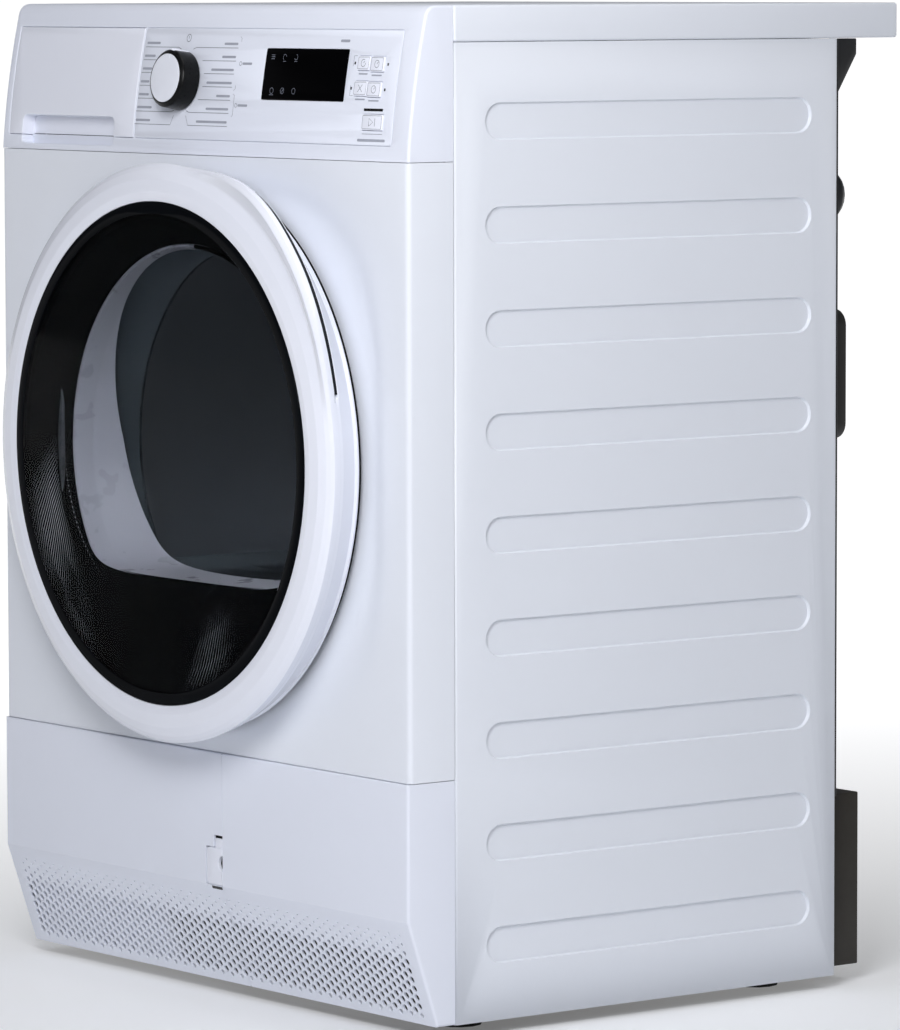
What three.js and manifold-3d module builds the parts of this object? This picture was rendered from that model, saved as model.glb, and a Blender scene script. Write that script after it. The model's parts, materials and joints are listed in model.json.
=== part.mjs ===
// A free-standing condenser tumble dryer. Millimetres, +Z up, the front faces -Y.
// The origin is on the floor, under the middle of the bounding box. Every piece is drawn in a frame
// whose y = 0 is the flat front face, and the whole group is then moved to the origin's place.
import * as THREE from "three";
import { mergeVertices } from "three/addons/utils/BufferGeometryUtils.js";
import Module from "manifold-3d";

const wasm = await Module();
wasm.setup();

// ---- Driving dimensions -------------------------------------------------------------------
const GAP = 0.3; // between pieces that touch
const FACETS = { door: 48, drum: 36, bowl: 30, belt: 24 }; // round a full turn
const CABINET = { width: 600, height: 850, rear: 527.4 };
const DOOR_REACH = 57; // how far the door's finger lip stands in front of the front face
const FRONT = DOOR_REACH - (DOOR_REACH + CABINET.rear) / 2;
const SKIN = 1.5; // sheet thickness of the casing
const SIDE = { x: 299, front: 46.6, rear: 460.7, bottom: 11.4, flange: 11 };
const WORKTOP = { bottom: 820, rim: 15, top: 12 };
const SEAM = { fascia: 722.7, kick: 215.2, gap: 0.3 };
const RIB = { count: 9, first: 755, pitch: 85.1, height: 31, front: 79, rear: 431, deep: 0.8 };
const FASCIA = { lean: 0.07, curve: 0.0007, wall: 2.5, top: 26 };
const DRAWER = { x0: -289, x1: -95.8, z0: 735.8, z1: 829.7 };
const RECESS = { x0: -268, x1: -126, z0: 728, z1: 753, deep: 15 };
const TANK = { x0: -284, x1: -104, y0: 26, y1: 430, z0: 748, z1: 814, wall: 2 };
const KNOB = { x: -28, z: 785, r: 25.4, reach: 20, shaft: 3 };
const DISPLAY = { x0: 88.5, x1: 204, z0: 771, z1: 813.5 };
const BUTTONS = {
  option_button_1: [219, 235.6, 796.6, 808.4],
  option_button_2: [236.8, 255.1, 795.6, 808.1],
  option_button_3: [217.9, 235.9, 775.8, 788],
  option_button_4: [236.2, 255, 774.9, 787.5],
  start_button: [233.8, 261.8, 748, 761],
};
const BUTTON = { proud: 1.8, deep: 9, slack: 0.4 };
const PORT = { z: 470.5, hole: 196, ring: 176, seal: [180, 192] };
const DISH = { rim: 264, floor: 240, deep: 3.5, back: 5 }; // round the port, pressed into the front
const DOOR = { glass: 213.7, face: -43.7, pane: 4, frame: 231 };
const LIP = { from: 38, to: 47, fadeIn: 30, fadeOut: 37 };
const HINGE_NOTCH = [-250, -205]; // x, in the ring
const FRAME_NOTCH = [-240, -199.5]; // x, in the frame behind it
const CATCH = { x: 215, tip: 222.5, half: 8, slot: 225.4 }; // the hook, and its slot's far side
const BOWL = {
  rim: 171, middle: 150, flat: -112, wall: 4, front: -12, deep: 92,
  shoulder: { r: 125, y: 72 }, crown: { r: 80, y: 88 },
};
const HINGE = { x: -224, y: -30, pin: 3, barrel: 5.5, arm: 18, leaf: 32 };
const KICK = { proud: 2, fold: 100.5, bottom: 11.5, back: 28, split: 36 };
const LATCH = { x0: 12.5, z0: 100.8, z1: 133, hole: 7, holeZ: 120 };
const FLAP_PIN = { x: -288, y: 20, r: 2.5 };
const BULKHEAD = { y: 62.3, thick: 2 };
const DRUM = { r: 285, wall: 1.2, front: 70, rear: 430, mouth: 214, shaft: 11 };
const ROLLER = { x: 210, z: 228.5, r: 34.5, y0: 90, y1: 108, axle: 5 };
const MOTOR = { x: 165, z: 105, r: 52, y0: 200, y1: 298, shaft: 6, pulley: 10, pulleyY: 304 };
const BELT = { y0: 306, y1: 318, thick: 2.5 };
const IDLER = { x: 101.8, z: 95.6, r: 18, axle: 4, y0: 303, y1: 319 };
const HOUSING = { x0: -262, x1: -8, y0: 38.5, y1: 400, z0: 18, z1: 152, wall: 3 };
const LUG = { x: -259, width: 4, half: 2, z0: 95, z1: 190, height: 10 }; // holds the flap's pin
const EXCHANGER = { y0: 34, core: 38, y1: 340, slots: 7, fin: 2.5 };
const TRAY = { x: 290, y0: 50, y1: 458, z0: 14, z1: 60, wall: 3 };
const FEET = { x: 240, front: 95, rear: 420, r: 20, stud: 4 };
const REAR = { y: 461, thick: 2, bottom: 167, hole: 200 };
const COVER = { r: 240, deep: 34 };

const COLOURS = {
  white: { color: 0xd3d6de, roughness: 0.35, metalness: 0 },
  dark: { color: 0x17181b, roughness: 0.4, metalness: 0 },
  glass: { color: 0x0c0e12, roughness: 0.05, metalness: 0 },
  brown: { color: 0x342f28, roughness: 0.7, metalness: 0 },
  steel: { color: 0xa9adb3, roughness: 0.3, metalness: 1 },
  grey: { color: 0x8b8f96, roughness: 0.6, metalness: 0 },
};

// ---- Solids -------------------------------------------------------------------------------
function toSolid(geometry) {
  const bare = geometry.clone();
  bare.deleteAttribute("normal");
  bare.deleteAttribute("uv");
  const merged = mergeVertices(bare, 1e-3);
  return new wasm.Manifold(
    new wasm.Mesh({
      numProp: 3,
      vertProperties: merged.attributes.position.array,
      triVerts: new Uint32Array(merged.index.array),
    }),
  );
}

function toGeometry(solid) {
  const mesh = solid.getMesh();
  const geometry = new THREE.BufferGeometry();
  geometry.setAttribute("position", new THREE.BufferAttribute(mesh.vertProperties, 3));
  geometry.setIndex(new THREE.BufferAttribute(mesh.triVerts, 1));
  return geometry;
}

const cut = (whole, ...tools) =>
  toGeometry(tools.reduce((solid, tool) => solid.subtract(toSolid(tool)), toSolid(whole)));
const join = (whole, ...pieces) =>
  toGeometry(pieces.reduce((solid, piece) => solid.add(toSolid(piece)), toSolid(whole)));
const keep = (whole, region) => toGeometry(toSolid(whole).intersect(toSolid(region)));

function box(x0, x1, y0, y1, z0, z1) {
  const geometry = new THREE.BoxGeometry(x1 - x0, y1 - y0, z1 - z0);
  return geometry.translate((x0 + x1) / 2, (y0 + y1) / 2, (z0 + z1) / 2);
}

// A shape whose own axes are Y and Z, drawn out along X.
function shapeAlongX(shape, x0, x1, curveSegments = 8) {
  const settings = { depth: x1 - x0, bevelEnabled: false, curveSegments };
  const turn = new THREE.Matrix4().makeBasis(
    new THREE.Vector3(0, 1, 0),
    new THREE.Vector3(0, 0, 1),
    new THREE.Vector3(1, 0, 0),
  );
  return new THREE.ExtrudeGeometry(shape, settings).applyMatrix4(turn).translate(x0, 0, 0);
}

// An outline of [y, z] points drawn out along X.
const alongX = (points, x0, x1) =>
  shapeAlongX(new THREE.Shape(points.map(([y, z]) => new THREE.Vector2(y, z))), x0, x1);

// A shape in the XZ plane drawn out along Y.
function alongY(shape, y0, y1, curveSegments = 8) {
  const settings = { depth: y1 - y0, bevelEnabled: false, curveSegments };
  return new THREE.ExtrudeGeometry(shape, settings).rotateX(Math.PI / 2).translate(0, y1, 0);
}

// A profile of [radius, y] points turned about the Y axis, given in either direction.
function turned(points, segments = 24) {
  const path = points.map(([r, y]) => new THREE.Vector2(r, y));
  if (THREE.ShapeUtils.area(path) < 0) path.reverse();
  if (points[0][0] > 0) path.push(path[0].clone());
  return new THREE.LatheGeometry(path, segments);
}

const disc = (r, y0, y1, x = 0, z = 0, segments = 24) =>
  turned([[0, y0], [r, y0], [r, y1], [0, y1]], segments).translate(x, 0, z);
const sleeve = (inner, outer, y0, y1, x = 0, z = 0, segments = 24) =>
  turned([[inner, y0], [outer, y0], [outer, y1], [inner, y1]], segments).translate(x, 0, z);
const upright = (geometry, x, y) => geometry.rotateX(Math.PI / 2).translate(x, y, 0);

// A stadium with its long axis along Y or Z, centred on the origin.
function stadium(length, width) {
  const shape = new THREE.Shape();
  const straight = (length - width) / 2;
  shape.absarc(straight, 0, width / 2, -Math.PI / 2, Math.PI / 2);
  shape.absarc(-straight, 0, width / 2, Math.PI / 2, (3 * Math.PI) / 2);
  return shape;
}

// ---- The leaning fascia -------------------------------------------------------------------
const rise = (z) => z - SEAM.fascia;
const faceDepth = (z) => FASCIA.lean * rise(z) + FASCIA.curve * rise(z) ** 2;
const faceTilt = (z) => Math.atan(FASCIA.lean + 2 * FASCIA.curve * rise(z));

// Moves a geometry drawn about the origin, its outside towards -Y, onto the leaning face.
const onFace = (geometry, x, z) => geometry.rotateX(-faceTilt(z)).translate(x, faceDepth(z), z);

function faceLine(z0, z1, inset, steps) {
  return Array.from({ length: steps + 1 }, (_, i) => {
    const z = z0 + ((z1 - z0) * i) / steps;
    return [faceDepth(z) + inset, z];
  });
}

const faceBand = (z0, z1, x0, x1, thick, steps) =>
  alongX([...faceLine(z0, z1, 0, steps), ...faceLine(z0, z1, thick, steps).reverse()], x0, x1);

function buttonBox([x0, x1, z0, z1], slack, proud, deep) {
  const [w, h] = [(x1 - x0) / 2 + slack, (z1 - z0) / 2 + slack];
  return onFace(box(-w, w, -proud, deep, -h, h), (x0 + x1) / 2, (z0 + z1) / 2);
}

function displayBox(slack, proud, deep) {
  return buttonBox([DISPLAY.x0, DISPLAY.x1, DISPLAY.z0, DISPLAY.z1], slack, proud, deep);
}

// ---- Casing -------------------------------------------------------------------------------
// One side panel; side is 1 for the right and -1 for the left.
function sidePanel(side) {
  const { x, front, rear, bottom, flange } = SIDE;
  const top = WORKTOP.bottom - GAP;
  const slab = (deep, y0, y1, z0) =>
    box(Math.min(side * x, side * (x - deep)), Math.max(side * x, side * (x - deep)), y0, y1, z0, top);
  const [ribX0, ribX1] = side > 0 ? [x - RIB.deep, x + 1] : [-x - 1, -x + RIB.deep];
  const ribs = Array.from({ length: RIB.count }, (_, i) =>
    shapeAlongX(stadium(RIB.rear - RIB.front, RIB.height), ribX0, ribX1, 3)
      .translate(0, (RIB.front + RIB.rear) / 2, RIB.first - RIB.pitch * i),
  );
  return cut(
    join(
      slab(SKIN, front, rear, bottom),
      slab(flange, front, front + SKIN, SEAM.kick),
      slab(flange, rear - SKIN, rear, bottom),
    ),
    ...ribs,
  );
}

function frontPanel() {
  const [z0, z1] = [SEAM.kick + SEAM.gap, SEAM.fascia - SEAM.gap];
  const back = SIDE.front - GAP;
  const inner = SIDE.x - SKIN;
  const shell = cut(
    box(-SIDE.x, SIDE.x, 0, back, z0, z1),
    box(-inner, inner, SKIN, 12, z0 + SKIN, z1 - SKIN),
    box(-inner, inner, 11, back + 1, z0 - 1, z1 + 1),
  );
  const dish = turned([[0, -1], [DISH.rim, -1], [DISH.rim, 0], [DISH.floor, DISH.deep], [0, DISH.deep]], 48);
  const backing = disc(DISH.rim - 1, SKIN / 2, DISH.back, 0, PORT.z, 48);
  return cut(
    join(shell, keep(backing, box(-inner, inner, 0, back, z0, z1))),
    dish.translate(0, 0, PORT.z),
    disc(PORT.hole, -1, DISH.back + 1, 0, PORT.z, FACETS.drum),
    box(-211, -198, -1, DISH.back + 1, PORT.z - 20, PORT.z + 20),
    box(211, CATCH.slot, -1, DISH.back + 1, PORT.z - 17, PORT.z + 17),
  );
}

function worktop() {
  const { bottom, rim, top } = WORKTOP;
  const half = CABINET.width / 2;
  return cut(
    box(-half, half, SIDE.front, CABINET.rear, bottom, CABINET.height),
    box(-half + rim, half - rim, SIDE.front + rim, CABINET.rear - rim, bottom - 1,
      CABINET.height - top),
  );
}

function fascia() {
  const { wall, top } = FASCIA;
  const z0 = SEAM.fascia;
  const z1 = CABINET.height;
  const back = SIDE.front - GAP;
  const outer = [...faceLine(z0, z1 - 5, 0, 5), [top, z1], [back, z1], [back, z0]];
  const hollow = [
    ...faceLine(z0 + wall, z1 - 5 - wall, wall, 5),
    [top + wall, z1 - wall],
    [back + 1, z1 - wall],
    [back + 1, z0 + wall],
  ];
  const inner = SIDE.x - wall;
  const pocket = box(RECESS.x0 - 2, RECESS.x1 + 2, 1, RECESS.deep, RECESS.z0 - 2, DRAWER.z0 - 1);
  const shell = join(
    cut(alongX(outer, -SIDE.x, SIDE.x), alongX(hollow, -inner, inner)),
    keep(pocket, alongX(outer, -SIDE.x, SIDE.x)),
  );
  return cut(
    shell,
    box(DRAWER.x0 - GAP, DRAWER.x1 + GAP, -5, 30, DRAWER.z0 - GAP, DRAWER.z1 + GAP),
    box(RECESS.x0, RECESS.x1, -5, RECESS.deep - 2, RECESS.z0, DRAWER.z0),
    onFace(disc(KNOB.shaft + 2, -5, 8, 0, 0, 12), KNOB.x, KNOB.z),
    displayBox(GAP, 5, 6),
    ...Object.values(BUTTONS).map((place) => buttonBox(place, BUTTON.slack, 5, 8)),
  );
}

const kickOutline = (back) => {
  const { proud, fold, bottom } = KICK;
  const top = SEAM.kick - SEAM.gap;
  const front = [[-proud, top], [-proud, fold], [KICK.back, bottom]];
  return back
    ? [...front, [back, bottom], [back, top]]
    : [...front, [KICK.back + 2.2, bottom], [0, fold + 0.7], [0, top]];
};

// Short upright slots across the sloping part of a kick panel.
function grilleSlots(x0, x1) {
  const count = Math.floor((x1 - x0) / 24);
  return Array.from({ length: count }, (_, i) => {
    const x = x0 + ((x1 - x0) * (i + 0.5)) / count;
    return box(x - 4, x + 4, -5, 40, 30, 70);
  });
}

function kickSide(x0, x1) {
  return alongX(kickOutline(SIDE.front - GAP), x0, x1);
}

function kickPanelRight() {
  const left = KICK.split + GAP;
  const shell = join(alongX(kickOutline(), left, SIDE.x), kickSide(SIDE.x - SKIN, SIDE.x));
  return cut(shell, ...grilleSlots(60, 290));
}

function accessFlap() {
  const { x, y, r } = FLAP_PIN;
  const right = KICK.split - GAP;
  const shell = join(
    alongX(kickOutline(), -SIDE.x, right),
    cut(kickSide(-SIDE.x, -SIDE.x + SKIN), box(-310, -280, SIDE.front - 1, 60, 0, 220)),
    box(-SIDE.x + 0.5, x, y - 2, y + 2, 115, 175),
    upright(disc(5.5, 115, 175), x, y),
  );
  return cut(
    shell,
    upright(disc(r + 0.4, 110, 180), x, y),
    box(LATCH.x0 - GAP, right + 1, -5, 5, LATCH.z0 - GAP, LATCH.z1 + GAP + 10),
    ...grilleSlots(-285, 20),
  );
}

function flapLatch() {
  const right = KICK.split - GAP;
  const tab = box(LATCH.x0, right, -KICK.proud, 1, LATCH.z0, LATCH.z1);
  const hook = box(LATCH.x0 + 4, LATCH.x0 + 14, 0.5, 10, LATCH.z0 + 6, LATCH.z1 - 6);
  return cut(join(tab, hook), disc(LATCH.hole, -5, 5, KICK.split, LATCH.holeZ, 16));
}

function rearPanel() {
  const { y, thick, bottom, hole } = REAR;
  const half = SIDE.x - 2;
  const gusset = (x) =>
    alongX([[y + 1, 760], [y + 1, 819.4], [y + 30, 819.4], [y + 30, 806]], x - 6, x + 6);
  return cut(
    join(box(-half, half, y, y + thick, bottom, 819.4), gusset(-282), gusset(282)),
    disc(hole, y - 1, y + 5, 0, PORT.z, 32),
  );
}

function rearDrumCover() {
  const front = REAR.y + REAR.thick + GAP;
  const back = front + COVER.deep;
  const { r } = COVER;
  const shaft = DRUM.shaft + 0.4;
  const dish = turned(
    [
      [0, back - 3], [shaft, back - 3], [shaft, front + 3], [shaft + 7, front + 3],
      [shaft + 7, back - 3], [r - 14, back - 3], [r - 4, back - 12], [r - 4, front],
      [r, front], [r, back - 10], [r - 12, back], [0, back],
    ],
    32,
  ).translate(0, 0, PORT.z);
  const duct = cut(
    box(-118, 118, front, back, 166.6, 262),
    box(-115, 115, front - 1, back - 3, 160, 262.5),
    disc(r - 8, front - 1, back - 3, 0, PORT.z, 32),
  );
  const opening = box(-112, 112, front - 1, back - 3, 200, 260);
  return cut(join(dish, duct), opening);
}

function rearAirBox() {
  const front = REAR.y;
  return cut(
    box(-280, 280, front, 503, 15, 166),
    box(-277.5, 277.5, front - 1, 500.5, 17.5, 163.5),
    box(-112, 112, front + 4, 494, 160, 170),
  );
}

function heater() {
  const front = REAR.y + REAR.thick + GAP;
  const slots = Array.from({ length: 5 }, (_, i) => {
    const x = -75 + 32 * i;
    return box(x, x + 22, front, front + 40, 276, 308);
  });
  return cut(box(-88, 88, front + 4, front + 28, 266, 318), ...slots);
}

function cableGland() {
  const front = REAR.y + REAR.thick + GAP;
  const profile = [[0, front], [25.5, front], [25.5, front + 10], [19, front + 18], [0, front + 18]];
  return turned(profile, 20).translate(266, 0, 685.5);
}

function hoseHolder() {
  const front = REAR.y + REAR.thick + GAP;
  return alongY(stadium(112, 28), front, front + 18).rotateY(Math.PI / 2).translate(274, 0, 531);
}

// ---- Fascia fittings ----------------------------------------------------------------------
function controlBoard() {
  const board = box(-42, 295, 16, 18, -36, 36);
  const encoder = box(-12, 12, 7, 17, -12, 12);
  const bore = disc(KNOB.shaft + 0.4, 5, 14, 0, 0, 12);
  return onFace(cut(join(board, encoder), bore), KNOB.x, KNOB.z);
}

function programmeKnob() {
  const { r, reach, shaft } = KNOB;
  return turned(
    [
      [0, -reach], [r - 4, -reach], [r - 2, -reach + 1.5], [r - 0.3, -reach + 4],
      [r, -0.8], [shaft, -0.8], [shaft, 12], [0, 12],
    ],
    28,
  );
}

function drawerFront() {
  const { x0, x1, z0, z1 } = DRAWER;
  const inside = RECESS.deep + 2;
  const plate = faceBand(z0, z1, x0, x1, 3, 4);
  const scoop = keep(
    box(RECESS.x0 - 2, RECESS.x1 + 2, 1, inside, z0, RECESS.z1 + 2),
    faceBand(z0, z1, x0, x1, 40, 4),
  );
  return cut(join(plate, scoop), box(RECESS.x0, RECESS.x1, -5, RECESS.deep, z0 - 1, RECESS.z1));
}

function waterTank() {
  const { x0, x1, y0, y1, z0, z1, wall } = TANK;
  return cut(
    box(x0, x1, y0, y1, z0, z1),
    box(x0 + wall, x1 - wall, y0 + wall, y1 - wall, z0 + wall, z1 + 1),
  );
}

function tankLid() {
  const { x0, x1, y0, y1, z1 } = TANK;
  const bottom = z1 + GAP;
  return cut(
    box(x0, x1, y0, y1, bottom, bottom + 2.5),
    box(-240, -150, y1 - 90, y1 - 30, bottom - 1, bottom + 4),
    box(x0 + 12, x0 + 42, y0 + 12, y0 + 42, bottom - 1, bottom + 4),
  );
}

// ---- Door, drawn about the port's centre --------------------------------------------------
// How much of the finger lip stands at an angle, in degrees from +X towards +Z.
function lipShare(angle) {
  const ease = (t) => THREE.MathUtils.smoothstep(t, 0, 1);
  return (
    ease((angle - LIP.from + LIP.fadeIn) / LIP.fadeIn) *
    (1 - ease((angle - LIP.to) / LIP.fadeOut))
  );
}

const RING_PROFILE = [
  { at: [214.1, -43] },
  { at: [233, -43.4], lip: [2, 0] },
  { at: [240.5, -40.5], lip: [10, -4] },
  { at: [243.8, -38.2], lip: [27, -18.8] },
  { at: [246.3, -35.8], lip: [29.5, -17.2] },
  { at: [244.9, -29.3], lip: [31.4, -19.4] },
  { at: [243.2, -27.6], lip: [9, -14.5] },
  { at: [243.9, -25.2], lip: [28.6, -19.2] },
  { at: [236, -4.5] },
  { at: [233, -4.5] },
  { at: [238, -33.5] },
  { at: [228, -41.8], lip: [0, 1] },
  { at: [216.5, -37.2] },
  { at: [204, -37.2] },
  { at: [204, -39.4] },
  { at: [214.1, -39.4] },
];

function doorRing() {
  const base = turned(RING_PROFILE.map(({ at }) => at), FACETS.door);
  const place = base.attributes.position;
  const lips = RING_PROFILE.filter(({ lip }) => lip);
  for (let i = 0; i < place.count; i++) {
    const [x, y, z] = [place.getX(i), place.getY(i), place.getZ(i)];
    const r = Math.hypot(x, z);
    const share = lipShare(THREE.MathUtils.radToDeg(Math.atan2(z, x)));
    const point = lips.find(({ at }) => Math.hypot(at[0] - r, at[1] - y) < 0.01);
    if (!point || share === 0) continue;
    const grown = (r + share * point.lip[0]) / r;
    place.setXYZ(i, x * grown, y + share * point.lip[1], z * grown);
  }
  return cut(base, box(...HINGE_NOTCH, -35.2, 0, -20, 20));
}

/** The bowl's outside moved inwards by a distance, or outwards if it is negative. */
function bowlSolid(inset) {
  const front = inset > 0 ? BOWL.front - 8 : BOWL.front;
  const [shoulder, crown] = [BOWL.shoulder, BOWL.crown];
  const body = turned(
    [
      [0, front], [BOWL.rim - inset, front], [BOWL.middle - inset, 40 - inset / 2],
      [shoulder.r - inset, shoulder.y - inset], [crown.r - inset / 2, crown.y - inset], [0, BOWL.deep - inset],
    ],
    FACETS.bowl,
  );
  return keep(body, box(-300, 300, -60, 120, BOWL.flat + inset, 300));
}

const doorBowl = () => cut(bowlSolid(0), bowlSolid(BOWL.wall));

function doorInnerFrame() {
  const plate = cut(
    disc(DOOR.frame, -12, -4.5, 0, 0, FACETS.door),
    bowlSolid(-0.6),
    box(...FRAME_NOTCH, -13, 0, -20, 20),
  );
  const { x, tip, half } = CATCH;
  const stem = box(x, x + 4.5, -6, 14, -half, half);
  return join(plate, stem, box(x + 4, tip, 8, 14, -half, half));
}

function hingeLeaf() {
  const { x, y, pin, barrel, arm, leaf } = HINGE;
  const [z0, z1] = [arm + GAP, leaf];
  const plate = cut(box(-228, -182, -15.5, -12.4, -46, 46), box(-230, -199.5, -20, 0, -20, 20));
  const web = (a, b) => box(x - 4, x + 7, y, -12.4, a, b);
  const knuckle = (a, b) => upright(disc(barrel, a, b, 0, 0, 16), x, y);
  return cut(
    join(plate, web(20.5, z1), knuckle(z0, z1), web(-z1, -20.5), knuckle(-z1, -z0)),
    upright(disc(pin + 0.4, -50, 50, 0, 0, 16), x, y),
  );
}

function hingeBracket() {
  const { x, y, pin, barrel, arm, leaf } = HINGE;
  return join(
    box(-262, -201, DISH.back + GAP, DISH.back + GAP + 3, -45, 45),
    box(-208, -201, y - 4, DISH.back + 2, -arm, arm),
    box(x, -201, y - 4, y + 4, -arm, arm),
    upright(disc(barrel, -arm, arm, 0, 0, 16), x, y),
    upright(disc(pin, -leaf, leaf, 0, 0, 16), x, y),
  );
}

function doorLock() {
  return cut(
    box(210.5, 242, DISH.back + GAP, 30, -30, 30),
    box(213, 233, -1, 22, -16, 16),
  );
}

// ---- Port, drum and belt ------------------------------------------------------------------
function portRing() {
  const { ring } = PORT;
  const front = DISH.back + GAP;
  return turned(
    [
      [ring, front], [199.5, front], [199.5, front + 2], [ring + 2.5, front + 2],
      [ring + 2.5, BULKHEAD.y - GAP], [ring, BULKHEAD.y - GAP],
    ],
    FACETS.drum,
  );
}

const portSeal = () => sleeve(...PORT.seal, -4.1, DISH.back, 0, 0, FACETS.drum);

function lintFilter() {
  const body = keep(disc(PORT.ring - 0.6, 8, 58, 0, 0, FACETS.drum), box(-200, 200, 0, 70, -200, -126));
  return cut(body, box(-92, 92, 14, 52, -142, -120));
}

function bulkhead() {
  const { y, thick } = BULKHEAD;
  const axle = (x) => disc(ROLLER.axle, y + 1, ROLLER.y1 + 4, x, ROLLER.z, 12);
  return join(
    cut(
      box(-296, 296, y, y + thick, 178, 741),
      disc(PORT.ring, y - 1, y + 5, 0, PORT.z, FACETS.drum),
    ),
    axle(-ROLLER.x),
    axle(ROLLER.x),
  );
}

function drumShell() {
  const { r, wall, front, rear, mouth } = DRUM;
  return turned(
    [
      [mouth, front], [r, front + 14], [r, rear], [r - wall, rear],
      [r - wall, front + 14.9], [mouth, front + wall],
    ],
    FACETS.drum,
  );
}

function drumBack() {
  const { r, wall, rear, shaft } = DRUM;
  const rim = r - wall - GAP;
  const plate = turned(
    [
      [0, rear - 8], [rim, rear - 8], [rim, rear], [rim - 1.5, rear], [rim - 1.5, rear - 6.5],
      [40, rear - 6.5], [40, rear + 10], [shaft, rear + 10], [shaft, rear + 60], [0, rear + 60],
    ],
    FACETS.drum,
  );
  const holes = Array.from({ length: 9 }, (_, i) => {
    const angle = (i * 2 * Math.PI) / 9;
    return disc(18, rear - 10, rear - 5, 165 * Math.cos(angle), 165 * Math.sin(angle), 6);
  });
  return cut(plate, ...holes);
}

function drumLifter() {
  const half = 20;
  const base = DRUM.r - DRUM.wall - half * Math.tan(Math.PI / FACETS.drum) - GAP;
  const shape = new THREE.Shape();
  shape.moveTo(-half, base);
  shape.quadraticCurveTo(-8, base - 12, -7, base - 48);
  shape.lineTo(7, base - 48);
  shape.quadraticCurveTo(8, base - 12, half, base);
  return alongY(shape, 100, 410, 2);
}

function supportRoller() {
  const { r, y0, y1, axle } = ROLLER;
  return sleeve(axle + 0.4, r, y0, y1, 0, 0, 20);
}

// The outline that a belt takes round the drum and the motor's pulley, at an offset from their rims.
function beltOutline(offset) {
  const clear = (r) => (r + GAP) / Math.cos(Math.PI / FACETS.belt) + offset;
  const [big, small] = [clear(DRUM.r), clear(MOTOR.pulley)];
  const to = new THREE.Vector2(MOTOR.x, MOTOR.z - PORT.z);
  const half = Math.acos((big - small) / to.length());
  const shape = new THREE.Path();
  shape.absarc(0, 0, big, to.angle() + half, to.angle() - half + 2 * Math.PI, false);
  shape.absarc(to.x, to.y, small, to.angle() - half, to.angle() + half, false);
  return shape;
}

function driveBelt() {
  const outer = new THREE.Shape(beltOutline(BELT.thick).getPoints(FACETS.belt / 2));
  outer.holes.push(new THREE.Path(beltOutline(0).getPoints(FACETS.belt / 2)));
  return alongY(outer, BELT.y0, BELT.y1);
}

// ---- Motor, fans and heat exchanger -------------------------------------------------------
function motorCasing() {
  const { r, y0, y1, shaft } = MOTOR;
  const foot = box(-42, 42, y0 + 15, y1 - 15, TRAY.z0 + TRAY.wall + GAP - MOTOR.z, -r + 12);
  return cut(join(disc(r, y0, y1), foot), disc(shaft + 0.4, y0 - 1, y1 + 1, 0, 0, 16));
}

function motorShaft() {
  const { shaft, pulley, pulleyY } = MOTOR;
  return turned(
    [
      [0, 88], [shaft, 88], [shaft, pulleyY - 2], [pulley + 3, pulleyY - 2], [pulley + 3, pulleyY],
      [pulley, pulleyY], [pulley, pulleyY + 16], [pulley + 3, pulleyY + 16],
      [pulley + 3, pulleyY + 18], [shaft, pulleyY + 18], [shaft, 494], [0, 494],
    ],
    16,
  );
}

function fanWheel(y0, y1, r, blades) {
  const hub = sleeve(MOTOR.shaft + GAP, 14, y0, y1, 0, 0, 16);
  const plate = sleeve(12, r, y1 - 2, y1, 0, 0, 16);
  const vanes = Array.from({ length: blades }, (_, i) =>
    box(12, r - 1, y0, y1 - 1, -1, 1).rotateY((2 * Math.PI * i) / blades),
  );
  return join(hub, plate, ...vanes);
}

function coolingFanHousing() {
  const [y0, y1] = [84, 136];
  const right = 232 - MOTOR.x;
  const left = HOUSING.x1 + GAP - MOTOR.x;
  const outer = join(box(-65, right, y0, y1, -60, 60), box(left, -60, y0, y1, -45, 30));
  return cut(
    outer,
    box(-62.5, right - 2.5, y0 + 2.5, y1 - 2.5, -57.5, 57.5),
    box(left - 1, -60, y0 + 2.5, y1 - 2.5, -42.5, 27.5),
    disc(36, y0 - 1, y0 + 4, 0, 0, 20),
    disc(MOTOR.shaft + 3, y1 - 4, y1 + 1, 0, 0, 12),
  );
}

function exchangerHousing() {
  const { x0, x1, y0, y1, z0, z1, wall } = HOUSING;
  const { x, y, r } = FLAP_PIN;
  const lug = (bottom) =>
    box(x - 4, LUG.x + LUG.width, y - LUG.half, y + LUG.half, bottom, bottom + LUG.height);
  const duct = box(x0 + wall, x1 - wall, y0 - 1, y1 + 1, z0 + wall, z1 - wall);
  return join(
    cut(box(x0, x1, y0, y1, z0, z1), duct, box(x1 - 4, x1 + 1, 90, 130, 64, 130)),
    box(LUG.x, LUG.x + LUG.width, y - LUG.half, y0 + wall, LUG.z0, LUG.z1),
    lug(LUG.z0),
    lug(LUG.z1 - LUG.height),
    upright(disc(r, LUG.z0 + 4, LUG.z1 - 4, 0, 0, 12), x, y),
  );
}

function heatExchanger() {
  const { y0, core, y1, slots, fin } = EXCHANGER;
  const [z0, z1] = [26, 144];
  const pitch = (z1 - z0 - fin) / slots;
  const channels = Array.from({ length: slots }, (_, i) => {
    const z = z0 + fin + pitch * i;
    return box(-260, 0, core + 10, y1 - 6, z, z + pitch - fin);
  });
  const plate = box(-252, -14, y0, core, 22, 148);
  const block = box(-248, -20, core - 1, y1, z0, z1);
  const pin = (x) => disc(3.4, y0 - 1, core + 6, x, 132, 12);
  return cut(join(plate, block), ...channels, pin(-236), pin(-34));
}

function exchangerLever() {
  const y1 = EXCHANGER.y0 - GAP;
  return join(
    box(-6, 6, y1 - 7, y1, -46, 0),
    disc(9, y1 - 7, y1, 0, 0, 16),
    disc(3, y1 - 2, EXCHANGER.core + 4, 0, 0, 12),
  );
}

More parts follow.
